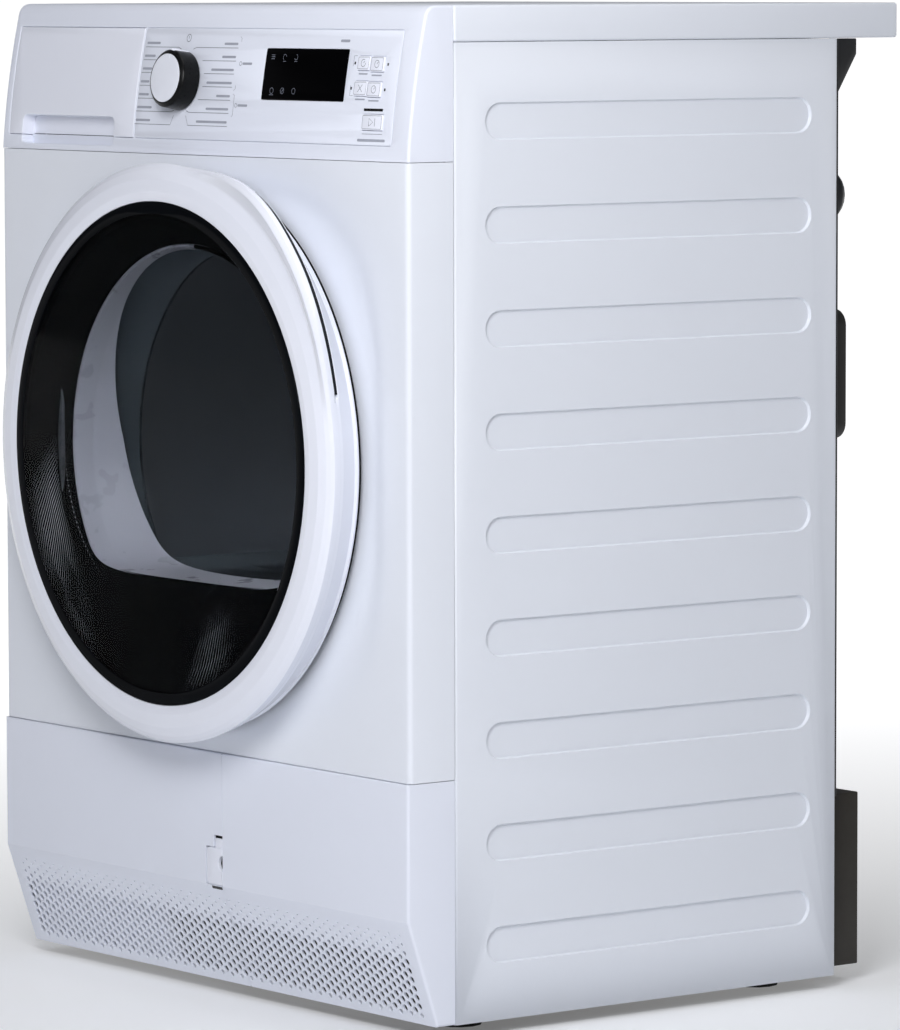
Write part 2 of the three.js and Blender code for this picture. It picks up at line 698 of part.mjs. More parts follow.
function idlerPulley() {
  const { x, z, r, axle, y0, y1 } = IDLER;
  return sleeve(axle + 1, r, y0, y1, x, z, 20);
}

function condensatePump() {
  const floor = TRAY.z0 + TRAY.wall + GAP;
  const body = box(22, 78, 345, 425, floor, floor + 34);
  return join(body, upright(disc(20, floor + 30, 96, 0, 0, 16), 50, 385));
}

function baseTray() {
  const { x, y0, y1, z0, z1, wall } = TRAY;
  const floor = z0 + wall;
  const studs = [-FEET.x, FEET.x].flatMap((fx) =>
    [FEET.front, FEET.rear].map((fy) => upright(disc(FEET.stud + 0.4, 10, 20, 0, 0, 12), fx, fy)),
  );
  return join(
    cut(
      box(-x, x, y0, y1, z0, z1),
      box(-x + wall, x - wall, y0 + wall, y1 - wall, floor, z1 + 1),
      box(-x + wall, 2, y0 - 1, y0 + wall + 1, floor, z1 + 1),
      box(MOTOR.x - 10, MOTOR.x + 10, y1 - 5, y1 + 1, 40, z1 + 1),
      ...studs,
    ),
    box(IDLER.x - 5, IDLER.x + 5, IDLER.y1 + 3, IDLER.y1 + 7.5, z0 + 1, IDLER.z + 5),
    disc(IDLER.axle, IDLER.y0 - 2, IDLER.y1 + 4, IDLER.x, IDLER.z, 12),
  );
}

function foot() {
  const { r, stud } = FEET;
  return turned([[0, 0], [r, 0], [r, 6], [r - 3, 8], [stud, 8], [stud, 17.2], [0, 17.2]], 12)
    .rotateX(Math.PI / 2);
}

// ---- Assembly -----------------------------------------------------------------------------
const dryer = new THREE.Group();
dryer.position.y = FRONT;

function assembly(x = 0, y = 0, z = 0, parent = dryer) {
  const group = new THREE.Group();
  group.position.set(x, y, z);
  parent.add(group);
  return group;
}

function add(name, geometry, look, parent = dryer) {
  const mesh = new THREE.Mesh(geometry, new THREE.MeshStandardMaterial(COLOURS[look]));
  mesh.name = name;
  parent.add(mesh);
  return mesh;
}

add("side_panel_right", sidePanel(1), "white");
add("side_panel_left", sidePanel(-1), "white");
add("front_panel", frontPanel(), "white");
add("worktop", worktop(), "white");
add("control_fascia", fascia(), "white");
add("kick_panel_right", kickPanelRight(), "white");
add("rear_panel", rearPanel(), "dark");
add("rear_drum_cover", rearDrumCover(), "grey");
add("rear_air_box", rearAirBox(), "brown");
add("cable_gland", cableGland(), "dark");
add("hose_holder", hoseHolder(), "grey");
add("heater", heater(), "steel");

add("display_window", displayBox(0, 0.4, 1.8), "glass");
add("control_board", controlBoard(), "dark");
const knob = add("programme_knob", programmeKnob(), "white");
knob.position.set(KNOB.x, faceDepth(KNOB.z), KNOB.z);
knob.rotation.x = -faceTilt(KNOB.z);
for (const [name, place] of Object.entries(BUTTONS))
  add(name, buttonBox(place, 0, BUTTON.proud, BUTTON.deep), "white");
add("drawer_front", drawerFront(), "white");
add("water_tank", waterTank(), "grey");
add("tank_lid", tankLid(), "grey");

add("access_flap", accessFlap(), "white");
add("flap_latch", flapLatch(), "white");
add("exchanger_housing", exchangerHousing(), "grey");
add("heat_exchanger", heatExchanger(), "steel");
for (const [side, x] of [["left", -236], ["right", -34]])
  add("exchanger_lever_" + side, exchangerLever(), "brown").position.set(x, 0, 132);

const port = assembly(0, 0, PORT.z);
add("door_ring", doorRing(), "white", port);
add("door_glass", disc(DOOR.glass, DOOR.face, DOOR.face + DOOR.pane, 0, 0, FACETS.door), "glass", port);
add("door_inner_frame", doorInnerFrame(), "dark", port);
add("door_bowl", doorBowl(), "glass", port);
add("door_hinge_leaf", hingeLeaf(), "steel", port);
add("hinge_bracket", hingeBracket(), "steel", port);
add("door_lock", doorLock(), "dark", port);
add("port_ring", portRing(), "grey", port);
add("port_seal", portSeal(), "dark", port);
add("lint_filter", lintFilter(), "grey", port);
add("front_bulkhead", bulkhead(), "steel");

add("drum_shell", drumShell(), "steel", port);
add("drum_back", drumBack(), "steel", port);
for (const i of [0, 1, 2])
  add("drum_lifter_" + (i + 1), drumLifter(), "grey", port).rotation.y = (2 * Math.PI * i) / 3;
add("drive_belt", driveBelt(), "dark", port);
for (const [side, x] of [["left", -ROLLER.x], ["right", ROLLER.x]])
  add("support_roller_" + side, supportRoller(), "dark").position.set(x, 0, ROLLER.z);

const motor = assembly(MOTOR.x, 0, MOTOR.z);
add("motor_casing", motorCasing(), "steel", motor);
add("motor_shaft", motorShaft(), "steel", motor);
add("process_fan_wheel", fanWheel(467, 493, 46, 8), "grey", motor);
add("cooling_fan_wheel", fanWheel(94, 128, 50, 8), "grey", motor);
add("cooling_fan_housing", coolingFanHousing(), "grey", motor);
add("idler_pulley", idlerPulley(), "dark");

add("base_tray", baseTray(), "brown");
add("condensate_pump", condensatePump(), "dark");
for (const [side, x] of [["left", -FEET.x], ["right", FEET.x]])
  for (const [end, y] of [["front", FEET.front], ["rear", FEET.rear]])
    add("foot_" + end + "_" + side, foot(), "dark").position.set(x, y, 0);

export default dryer;
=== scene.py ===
"""The looks of a free-standing condenser tumble dryer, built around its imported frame.

Every shape below is drawn in millimetres as (x, depth, z): depth is 0 on the flat front panel and
grows towards the back. at() turns such a point into the frame's metres.
"""

import json
import math

import bmesh
import bpy
from mathutils import Matrix, Vector
from mathutils.geometry import tessellate_polygon

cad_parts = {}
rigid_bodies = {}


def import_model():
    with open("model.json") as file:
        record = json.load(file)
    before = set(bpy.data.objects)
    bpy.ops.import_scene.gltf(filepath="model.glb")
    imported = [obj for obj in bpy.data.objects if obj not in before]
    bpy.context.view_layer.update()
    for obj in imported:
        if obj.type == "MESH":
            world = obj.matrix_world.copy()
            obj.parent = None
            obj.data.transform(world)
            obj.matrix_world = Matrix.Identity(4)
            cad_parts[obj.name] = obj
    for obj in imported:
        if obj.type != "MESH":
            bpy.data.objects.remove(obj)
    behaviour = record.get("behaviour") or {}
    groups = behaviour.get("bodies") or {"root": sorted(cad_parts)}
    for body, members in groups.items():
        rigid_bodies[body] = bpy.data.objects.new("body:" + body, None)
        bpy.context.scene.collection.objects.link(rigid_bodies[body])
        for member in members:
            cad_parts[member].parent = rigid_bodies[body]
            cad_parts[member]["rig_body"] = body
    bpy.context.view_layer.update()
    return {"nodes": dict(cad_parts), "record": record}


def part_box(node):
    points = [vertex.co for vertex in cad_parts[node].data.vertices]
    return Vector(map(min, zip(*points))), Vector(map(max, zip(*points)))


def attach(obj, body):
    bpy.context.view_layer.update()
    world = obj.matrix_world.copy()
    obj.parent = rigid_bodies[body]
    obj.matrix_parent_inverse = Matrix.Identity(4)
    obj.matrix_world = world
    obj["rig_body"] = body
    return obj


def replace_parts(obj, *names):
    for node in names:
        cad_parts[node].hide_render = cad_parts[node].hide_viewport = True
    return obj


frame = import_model()

# ---- Measures: millimetres and degrees, and metres for the lights and the camera ----------
MM = 0.001
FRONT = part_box("front_panel")[0].y  # in metres
HALF = 299.0  # half the casing's width
SIDE = {"front": 46.6, "rear": 460.7, "bottom": 11.4, "top": 819.7, "bend": 3.0, "flange": 11.0}
RIB = {"count": 9, "first": 755.0, "pitch": 85.1, "half": 15.5, "front": 79.0, "rear": 431.0}
RIB_STEPS = [(0.0, 0.0), (0.2, 0.3), (0.55, 1.1), (0.9, 2.1), (1.3, 2.5)]  # in from the rim, and deep
PORT_Z = 470.5  # the height of the middle of the door, the port and the drum
PORT_HOLE = 196.0
DISH = {"x": 269.0, "z": 241.0, "power": 3.6, "deep": 3.5, "slope": 0.085}
DISH_ROWS = [0, 0.0123, 0.06, 0.1505, 0.22, 0.289, 0.3654, 0.42, 0.5, 0.56, 0.62, 0.68, 0.74, 0.8, 0.86,
             0.92, 0.97, 1]  # where the sheet's rows lie on the way from the port to its edge
# The dark strip round the door is painted shade, standing for the shadowed gap between the door's rim and
# the front panel.
DOOR_GAP_SHADE = {"inner": 225.8, "outer": 229.6, "wider": 7.0, "lift": 0.4}  # the dark strip round the door
OPENINGS = {"lock": (4.1, (5, 6)), "hinge": (5.6, (3, 4))}  # half the angle, and the rows left open
SEAM = {"fascia": 722.7, "kick": 215.2, "gap": 0.3}
FACE = {"lean": 0.07, "curve": 0.0007, "brow": 841.0, "top": 849.9, "back": 46.2}
# x from and to, then z from and to, on the fascia:
DRAWER = (-289.0, -95.8, 735.8, 829.7)
RECESS = (-268.0, -126.0, 728.0, 753.0)
INLAY = (-94.0, 274.5, 735.6, 830.0)
KNOB = {"x": -28.0, "z": 785.0, "r": 25.3, "cap": 20.8, "reach": 19.8, "turn": -9.0}
DISPLAY = (88.5, 204.0, 771.0, 813.5)
BUTTONS = {
    "option_button_1": (219.0, 235.6, 796.6, 808.4),
    "option_button_2": (236.8, 255.1, 795.6, 808.1),
    "option_button_3": (217.9, 235.9, 775.8, 788.0),
    "option_button_4": (236.2, 255.0, 774.9, 787.5),
    "start_button": (233.8, 261.8, 748.0, 761.0),
}
LEGEND = {"z": 786.0, "rows": [27.5, 16.5, 5.6, -5.4, -16.4, -27.4, -38.4],
          "left": [20, 16, 14, 13, 15, 22, 22], "right": [20, 20, 33, 37, 20, 33, 45],
          "starts": {"left": (-1, -64.0, 0.06), "right": (1, 73.0, 0.05)},  # side, reach and lean
          "brackets": [(37.0, -8.0), (-11.0, -30.0)], "bracket_x": 77.5}
INDICATORS = {"option_button_1": 214.4, "option_button_2": 259.6,
              "option_button_3": 213.2, "option_button_4": 259.4}
KEY_SIGNS = {  # the lines printed on a key, about its middle
    "start_button": [[(-4, -3.2), (-4, 3.2), (1.5, 0), (-4, -3.2), (-4, 0)], [(4, -3.2), (4, 3.2)]],
    "option_button_3": [[(-3, -3), (3, 3)], [(-3, 3), (3, -3)]],
}
CLOCK_HAND = [[(0, 0), (1.6, 1.6)]]
KICK = {"proud": 2.0, "top": 214.9, "fold": 100.5, "bottom": 11.5, "back": 28.0, "split": 36.0,
        "brim": 1.3, "edge": 3.0}
LATCH = {  # the tab's outline with its half-round hole, and the rectangles of what is round it
    "tab": [(12.6, 100.9, 4), (35.6, 100.9, 1.5), (35.6, 113.2, 0.3), (31.2, 115.5, 2), (29.3, 120, 3),
            (31.2, 124.5, 2), (35.6, 126.8, 0.3), (35.6, 133.0, 1.5), (12.6, 133.0, 4)],
    "stub": (24.6, 35.4, 131.0, 141.2), "well": (12.0, 36.4, 97.0, 144.5),
    "notch": (20.0, 35.2, -3.2, -0.6), "gap": [(12.2, 100.7), (12.2, 133.6), (23.5, 133.6), (23.5, 144.0)],
}
GRILLE = {"first": 12.6, "pitch": 8.1, "column": 7.1, "x": 39.55, "deep": 2.2}
GRILLE_SIZES = [1.5, 1.7, 2.4, 2.8, 4.2, 4.6] + [6.2] * 12 + [4.4]
LIP = {"low": (8.0, 38.0), "high": (47.0, 84.0)}  # angles over which the finger lip rises and sinks
SLOT = {"low": (13.4, 14.6), "high": (58.0, 72.0)}  # the gap behind the lip, likewise
RING_CORNERS = [  # radius, depth, what the finger lip adds to both, and the corner's rounding
    (214.1, -43.0, 0, 0, 0.4),
    (222.0, -44.4, 0, 0, 6.0),
    (233.0, -43.4, 2.0, 0, 7.0),
    (240.5, -40.5, 9.0, -0.5, 6.0),
    (243.8, -38.2, 27.0, -17.8, 2.0),
    (246.3, -35.8, 29.5, -17.2, 0.8),
    (245.8, -33.0, 30.6, -17.4, 1.0),
]
# Behind the lip, where the gap is open, and where it is closed:
RING_GAP = [(244.9, -29.3, 31.4, -19.4, 0.8), (242.5, -28.2, 10.0, -14.5, 0.3),
            (242.5, -26.4, 10.0, -13.0, 0.3), (243.9, -25.2, 28.6, -16.6, 1.2)]
RING_SOLID = [(245.3, -30.8, 31.0, -18.4, 0.8), (245.0, -29.6, 30.6, -18.6, 0.3),
              (244.6, -28.4, 30.0, -18.9, 0.3), (243.9, -25.2, 28.6, -19.2, 1.2)]
RING_BACK = [
    (236.6, -8.6, 0, 0, 1.5),
    (238.0, -6.6, 0, 0, 0.6),
    (237.4, -4.5, 0, 0, 0.5),
    (233.0, -4.5, 0, 0, 0.8),
    (238.0, -33.5, 0, 0, 1.0),
    (228.0, -41.8, 0, 1.0, 1.0),
    (216.5, -37.2, 0, 0, 0.5),
    (204.0, -37.2, 0, 0, 0.5),
    (204.0, -39.4, 0, 0, 0.4),
    (214.1, -39.4, 0, 0, 0.2),
]
# The bowl's milky band ends at a depth of limit, slanting above and below the port's middle:
BOWL = {"outer": [(177, -8, 1.5), (171, 8, 20), (152, 40, 30), (125, 72, 25), (80, 88, 30), (0, 92, 0)],
        "inner": [(0, 88, 0), (79, 84, 26), (122, 69, 22), (148, 39, 28), (167, 7, 20), (173.5, -8, 1.5)],
        "limit": 30.0, "above": 0.195, "below": 0.12, "end": 8.0}
GLASS = {"r": 213.7, "face": -43.7, "pane": 4.0, "rim": 203.5, "window": 177.0, "flat": -112.0,
         "blend": 26.0}  # the window is a circle cut flat low down, with a soft corner between
BARS = {"step": 1.45, "slant": 0.33, "ends": [(150, 0.2), (166, 1.0), (188, 1.0), (203, 0.2)],
        "groups": [(-1, 183.0, 36, 1.0), (1, 226.0, 16, 0.3)]}  # mirroring, first angle, count, boldness
DOTS = {"reach": 137, "step": 2.0, "before": 12, "share": 0.9}
DRUM = {"r": 285.0, "wall": 1.2, "front": 70.0, "rear": 430.0, "mouth": 214.0, "shaft": 11.0}
DRUM_HOLES = {"radius": 4.2, "rows": [(92, 18), (120, 24), (148, 30), (176, 36), (204, 42), (232, 48)]}
REAR = 461.0
INK = {"face": 0.08, "display": 0.34, "key": 1.32}  # how far prints stand off what they are on
LIGHTS = {  # where each is, what it is aimed at, its size, power and colour
    "key": ((1.3, -1.4, 1.4), (0, -0.2, 0.45), 0.8, 30, (0.98, 0.98, 1.0)),
    "side": ((3.2, 0.6, 2.3), (0.2, 0, 0.4), 1.6, 10.5, (1, 1, 1)),
    "drum_fill": ((0.1, FRONT + 0.12, 0.63), (-0.12, FRONT + 0.3, 0.36), 0.1, 0.2, (1, 1, 1)),
    "top": ((0.4, 0.1, 2.8), (0, 0, 0.5), 1.6, 14, (1, 1, 1)),
}
CAMERA = {"place": (4.241, -3.2082, 0.872), "yaw": 52.59, "pitch": 5.04, "roll": -0.14, "lens": 212.9}


def at(x, depth, z):
    return Vector((x * MM, FRONT + depth * MM, z * MM))


def polar(radius, angle):
    return radius * math.cos(angle), radius * math.sin(angle)


def ease(t):
    t = min(1.0, max(0.0, t))
    return t * t * (3 - 2 * t)


# ---- Materials ----------------------------------------------------------------------------
def linear(red, green, blue):
    """An sRGB colour given as 0 to 255, as the shader's linear colour."""
    def channel(value):
        share = value / 255
        return share / 12.92 if share <= 0.04045 else ((share + 0.055) / 1.055) ** 2.4

    return (channel(red), channel(green), channel(blue), 1.0)


def shade(colour, factor):
    return tuple(min(1.0, c * factor) for c in colour[:3]) + (1.0,)


class Look:
    """One procedural material: broad drifts of tone, fine grain in the surface, uneven gloss."""

    def __init__(self, name, rgb, roughness, metallic=0.0, drift=(6.0, 0.03), gloss=0.05,
                 grain=(900.0, 0.12, 0.02), stretch=(1, 1, 1), **sockets):
        self.material = bpy.data.materials.new(name)
        self.material.use_nodes = True
        self.nodes = self.material.node_tree.nodes
        self.links = self.material.node_tree.links
        self.shader = self.nodes["Principled BSDF"]
        self.shader.inputs["Metallic"].default_value = metallic
        for socket, value in sockets.items():
            self.shader.inputs[socket.replace("_", " ")].default_value = value
        self.place = self.coordinates(stretch)
        colour = linear(*rgb)
        self.paint(self.ramp(
            self.noise(drift[0], 4.0), shade(colour, 1 - drift[1]), shade(colour, 1 + drift[1])))
        spread = self.spread(self.noise(drift[0] * 7, 3.0), roughness - gloss, roughness + gloss)
        self.links.new(spread, self.shader.inputs["Roughness"])
        bump = self.node("Bump", Strength=grain[1], Distance=grain[2] * MM)
        self.links.new(self.noise(grain[0], 3.0), bump.inputs["Height"])
        self.links.new(bump.outputs["Normal"], self.shader.inputs["Normal"])

    def node(self, kind, **sockets):
        node = self.nodes.new("ShaderNode" + kind)
        for socket, value in sockets.items():
            node.inputs[socket.replace("_", " ")].default_value = value
        return node

    def coordinates(self, stretch):
        source = self.node("TexCoord")
        mapping = self.node("Mapping", Scale=stretch)
        self.links.new(source.outputs["Object"], mapping.inputs["Vector"])
        return mapping.outputs["Vector"]

    def noise(self, scale, detail, roughness=0.55):
        node = self.node("TexNoise", Scale=scale, Detail=detail, Roughness=roughness)
        self.links.new(self.place, node.inputs["Vector"])
        return node.outputs["Fac"]

    def cells(self, scale):
        node = self.node("TexVoronoi", Scale=scale)
        self.links.new(self.place, node.inputs["Vector"])
        return node.outputs["Color"]

    def paint(self, tone):
        self.links.new(tone, self.shader.inputs["Base Color"])
        return self

    def ramp(self, source, low, high, start=0.32, end=0.68):
        node = self.node("ValToRGB")
        node.color_ramp.elements[0].position = start
        node.color_ramp.elements[0].color = low
        node.color_ramp.elements[1].position = end
        node.color_ramp.elements[1].color = high
        self.links.new(source, node.inputs["Fac"])
        return node.outputs["Color"]

    def spread(self, source, low, high):
        node = self.node("MapRange", From_Min=0.3, From_Max=0.7, To_Min=max(0.02, low), To_Max=high)
        self.links.new(source, node.inputs["Value"])
        return node.outputs["Result"]


def spangled(look, scale, low, high):
    """Galvanised sheet: crystals of slightly different grey."""
    return look.paint(look.ramp(look.cells(scale), low, high, 0.1, 0.9))


def banded(look, scale, low, high):
    """Moulded or drawn stock: fine even bands along Y."""
    node = look.node("TexWave", Scale=scale, Distortion=1.5)
    node.bands_direction = "Y"
    look.links.new(look.place, node.inputs["Vector"])
    return look.paint(look.ramp(node.outputs["Fac"], low, high, 0.2, 0.8))


def darker_above(look, low, high, start, end):
    """Tone that changes from low to high between two heights, in metres."""
    split = look.node("SeparateXYZ")
    look.links.new(look.place, split.inputs["Vector"])
    return look.paint(look.ramp(split.outputs["Z"], low, high, start, end))


WHITE = (226, 230, 238)
LOOKS = {
    "casing_white": Look("painted_sheet", WHITE, 0.38, drift=(3.0, 0.012),
                         grain=(1100.0, 0.1, 0.03), Coat_Weight=0.15, Coat_Roughness=0.2),
    "worktop_white": Look("worktop_laminate", (224, 228, 236), 0.42, drift=(5.0, 0.015),
                          grain=(700.0, 0.2, 0.04)),
    "panel_plastic": Look("white_moulding", (226, 230, 241), 0.42, drift=(4.0, 0.012),
                          grain=(1500.0, 0.12, 0.02)),
    "white_plastic": Look("white_gloss_moulding", (230, 233, 243), 0.4, drift=(5.0, 0.006), gloss=0.02,
                          grain=(1300.0, 0.06, 0.02)),
    "knob_face": Look("knob_cap_satin", (226, 229, 238), 0.34, drift=(30.0, 0.02),
                      grain=(1800.0, 0.1, 0.02)),
    "knob_black": Look("knob_ring_gloss", (10, 11, 12), 0.3, drift=(40.0, 0.2), gloss=0.04,
                       grain=(900.0, 0.03, 0.02), Specular_IOR_Level=0.15),
    "door_white": Look("door_ring_gloss", (229, 232, 242), 0.26, drift=(5.0, 0.008), gloss=0.008,
                       grain=(900.0, 0.05, 0.02), Coat_Weight=0.3, Coat_Roughness=0.08),
    "door_glass": Look("smoked_glass", (216, 220, 224), 0.02, drift=(4.0, 0.02), gloss=0.005,
                       grain=(900.0, 0.002, 0.002), Transmission_Weight=1.0, IOR=1.05),
    "bowl_glass": Look("clear_bowl", (196, 204, 206), 0.05, drift=(8.0, 0.03), gloss=0.02,
                       grain=(90.0, 0.03, 0.05), Transmission_Weight=1.0, IOR=1.05),
    "display_black": Look("display_glass", (3, 3, 4), 0.12, drift=(10.0, 0.3), gloss=0.03,
                          grain=(400.0, 0.01, 0.01), Specular_IOR_Level=0.02),
    "black_plastic": Look("black_moulding", (26, 27, 30), 0.45, drift=(12.0, 0.12),
                          grain=(1400.0, 0.25, 0.04)),
    "black_rubber": Look("black_rubber", (22, 22, 23), 0.75, drift=(25.0, 0.15),
                         grain=(1700.0, 0.35, 0.06)),
    "rear_black": Look("black_painted_steel", (24, 25, 27), 0.42, drift=(5.0, 0.12),
                       grain=(1000.0, 0.2, 0.04)),
    "cover_grey": spangled(Look("galvanised_cover", (112, 116, 122), 0.42, 0.85, gloss=0.1,
                                grain=(500.0, 0.1, 0.03)),
                           110.0, linear(96, 100, 106), linear(128, 132, 138)),
    "zinc_steel": spangled(Look("zinc_plate", (150, 154, 160), 0.35, 0.95, gloss=0.08,
                                grain=(900.0, 0.1, 0.02)),
                           260.0, linear(134, 138, 144), linear(168, 171, 176)),
    "drum_steel": Look("drum_stainless", (176, 176, 182), 0.42, 0.7, drift=(5.0, 0.05), gloss=0.05,
                       grain=(700.0, 0.05, 0.02)),
    "grey_plastic": Look("grey_moulding", (139, 142, 149), 0.5, drift=(10.0, 0.05),
                         grain=(1300.0, 0.3, 0.04)),
    "brown_plastic": Look("brown_moulding", (40, 36, 29), 0.55, drift=(12.0, 0.12),
                          grain=(900.0, 0.3, 0.06)),
    "exchanger_aluminium": banded(Look("finned_aluminium", (170, 173, 177), 0.4, 0.95, gloss=0.08,
                                       grain=(800.0, 0.15, 0.03)),
                                  120.0, linear(150, 153, 158), linear(186, 188, 192)),
    "lever_plastic": Look("lever_moulding", (41, 74, 122), 0.4, drift=(20.0, 0.06),
                          grain=(1300.0, 0.2, 0.03)),
    "holder_dark": Look("holder_moulding", (34, 32, 30), 0.5, drift=(12.0, 0.1),
                        grain=(1200.0, 0.3, 0.05)),
    "motor_steel": Look("cast_motor_metal", (120, 122, 126), 0.5, 0.9, drift=(30.0, 0.15),
                        grain=(600.0, 0.3, 0.08)),
    "ink_grey": Look("printed_grey", (104, 108, 120), 0.5, drift=(60.0, 0.05),
                     grain=(900.0, 0.05, 0.01)),
    "ink_pale": Look("printed_pale", (158, 162, 174), 0.5, drift=(60.0, 0.05),
                     grain=(900.0, 0.05, 0.01)),
    "ink_black": Look("printed_black", (10, 11, 13), 0.3, drift=(50.0, 0.2),
                      grain=(900.0, 0.05, 0.01)),
    # Painted shade: the dark look of the strip that stands for the shadow in the gap behind the door's
    # finger lip.
    "painted_slot_shade": Look("slot_shade_paint", (30, 31, 35), 0.7, drift=(40.0, 0.1),
                     grain=(900.0, 0.05, 0.01), Specular_IOR_Level=0.1),
    "foam_liner": Look("foam_liner", (196, 199, 208), 0.85, drift=(30.0, 0.05),
                       grain=(400.0, 0.5, 0.3)),
    "filter_gauze": Look("filter_gauze", (92, 96, 104), 0.6, drift=(60.0, 0.1),
                         grain=(1500.0, 0.6, 0.2)),
    "glass_print": Look("glass_print", (9, 11, 14), 0.1, drift=(8.0, 0.25), gloss=0.03,
                        grain=(300.0, 0.01, 0.01), Specular_IOR_Level=0.02),
    # Painted shade: the milky band is coloured darker towards its top, between 0.36 m and 0.6 m up.
    "milky_bowl": darker_above(Look("milky_bowl", (232, 230, 240), 0.3, drift=(6.0, 0.1),
                                    grain=(70.0, 0.05, 0.1), Transmission_Weight=0.08, IOR=1.3),
                               linear(228, 225, 235), linear(150, 149, 157), 0.36, 0.6),
    "funnel_black": Look("funnel_black", (8, 10, 12), 0.9, drift=(8.0, 0.2),
                         grain=(900.0, 0.1, 0.02), Specular_IOR_Level=0.0),
    "glass_stripe": Look("glass_stripe", (178, 184, 196), 0.25, drift=(30.0, 0.05),
                         grain=(500.0, 0.05, 0.02)),
}
NODE_SLOTS = {part["node"]: part["material_slot"] for part in frame["record"]["subparts"]}
PIECE_LOOKS = {  # looks that aren't the record's own slots, and the slot each one belongs to
    "knob_black": "knob_face",
    "ink_grey": "panel_plastic",
    "ink_pale": "panel_plastic",
    "ink_black": "display_black",
    "painted_slot_shade": NODE_SLOTS["door_ring"],
    "foam_liner": "grey_plastic",
    "filter_gauze": "grey_plastic",
    "glass_print": "display_black",
    "milky_bowl": "bowl_glass",
    "funnel_black": "black_plastic",
    "glass_stripe": "display_black",
    "holder_dark": NODE_SLOTS["hose_holder"],
}


# ---- Meshes -------------------------------------------------------------------------------
def build(name, *parts, sharp=28.0):
    """One mesh object from (vertices, faces) pairs in millimetres, merged where they meet."""
    verts, faces = [], []
    for part_verts, part_faces in parts:
        start = len(verts)
        verts.extend(at(*v) for v in part_verts)
        faces.extend([start + i for i in face] for face in part_faces)
    mesh = bpy.data.meshes.new(name)
    mesh.from_pydata(verts, [], faces)
    return finish_mesh(name, mesh, sharp)


def finish_mesh(name, mesh, sharp):
    work = bmesh.new()
    work.from_mesh(mesh)
    bmesh.ops.remove_doubles(work, verts=work.verts, dist=2e-6)
    bmesh.ops.dissolve_degenerate(work, edges=work.edges, dist=1e-7)
    bmesh.ops.recalc_face_normals(work, faces=work.faces)
    work.to_mesh(mesh)
    work.free()
    mesh.shade_smooth()
    mesh.set_sharp_from_angle(angle=math.radians(sharp))
    thing = bpy.data.objects.new(name, mesh)
    bpy.context.scene.collection.objects.link(thing)
    return thing


def dress(thing, look):
    thing.data.materials.clear()
    thing.data.materials.append(LOOKS[look].material)
    PIECE_LOOKS.get(look, look)
    return thing


def stand_in(thing, node, look=None):
    """A piece that takes a CAD node's place on its body, dressed in its slot's look unless another look is
    given.
    """
    dress(thing, look or NODE_SLOTS[node])
    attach(thing, frame["nodes"][node]["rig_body"])
    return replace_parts(thing, node)


def beside(thing, node, look):
    """A piece that rides with a CAD node's body and doesn't replace it."""
    dress(thing, look)
    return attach(thing, frame["nodes"][node]["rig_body"])


def rounded(points, radius=0.0, steps=4, closed=True):
    """The 2-D outline with its corners rounded; a point may carry its own radius third."""
    made = []
    count = len(points)
    for i, point in enumerate(points):
        corner = Vector(point[:2])
        size = point[2] if len(point) > 2 else radius
        ends = not closed and i in (0, count - 1)
        before = Vector(points[i - 1][:2]) - corner
        after = Vector(points[(i + 1) % count][:2]) - corner
        if ends or size <= 0:
            made.append((corner.x, corner.y))
            continue
        angle = before.angle(after)
        reach = size / math.tan(angle / 2)
        start = corner + before.normalized() * min(reach, before.length * 0.49)
        end = corner + after.normalized() * min(reach, after.length * 0.49)
        for k in range(steps + 1):
            t = k / steps
            spot = start * (1 - t) ** 2 + corner * (2 * t * (1 - t)) + end * t * t
            made.append((spot.x, spot.y))
    return made


def rectangle(x0, x1, z0, z1, radius=0.0, steps=4):
    return rounded([(x0, z0), (x1, z0), (x1, z1), (x0, z1)], radius, steps)


def ring(radius, x=0.0, z=0.0, steps=32):
    turn = [2 * math.pi * i / steps for i in range(steps)]
    return [(x + radius * math.cos(a), z + radius * math.sin(a)) for a in turn]


def quads(rows, count, closed=True):
    """Faces between rows of count vertices each, numbered row by row."""
    ends = count if closed else count - 1
    return [(k * count + i, k * count + (i + 1) % count, (k + 1) * count + (i + 1) % count,
             (k + 1) * count + i) for k in range(rows - 1) for i in range(ends)]


def stadium(y0, y1, z, half, steps=12):
    def arc(centre, start):
        turn = [start + math.pi * i / steps for i in range(steps + 1)]
        return [(centre + half * math.cos(a), z + half * math.sin(a)) for a in turn]

    return arc(y1 - half, -math.pi / 2) + arc(y0 + half, math.pi / 2)


def area(loop):
    return sum(a[0] * b[1] - b[0] * a[1] for a, b in zip(loop, loop[1:] + loop[:1])) / 2


def offset(loop, distance):
    """A counter-clockwise loop moved inwards by a distance, or outwards if it is negative."""
    made = []
    for i, point in enumerate(loop):
        here = Vector(point)
        one = (here - Vector(loop[i - 1])).normalized()
        two = (Vector(loop[(i + 1) % len(loop)]) - here).normalized()
        left = Vector((-one.y, one.x)) + Vector((-two.y, two.x))
        scale = distance * 2 / max(0.5, left.length_squared)
        made.append((here.x + left.x * scale, here.y + left.y * scale))
    return made


def plane(y):
    """The upright plane at a depth, as a place for plate()."""
    return lambda x, depth, z: (x, y + depth, z)


def rim_rows(loop, rim, back, steps):
    """Loops with their depths, over a rounded rim and back along a wall; rim is negative for a hole."""
    round_over = abs(rim)
    rows = [(loop, 0.0)]
    if round_over > 0:
        turns = [math.pi / 2 * i / steps for i in range(steps + 1)]
        rows = [(offset(loop, rim * (1 - math.sin(a))), round_over * (1 - math.cos(a))) for a in turns]
    return rows + [(loop, back)] if back > round_over else rows


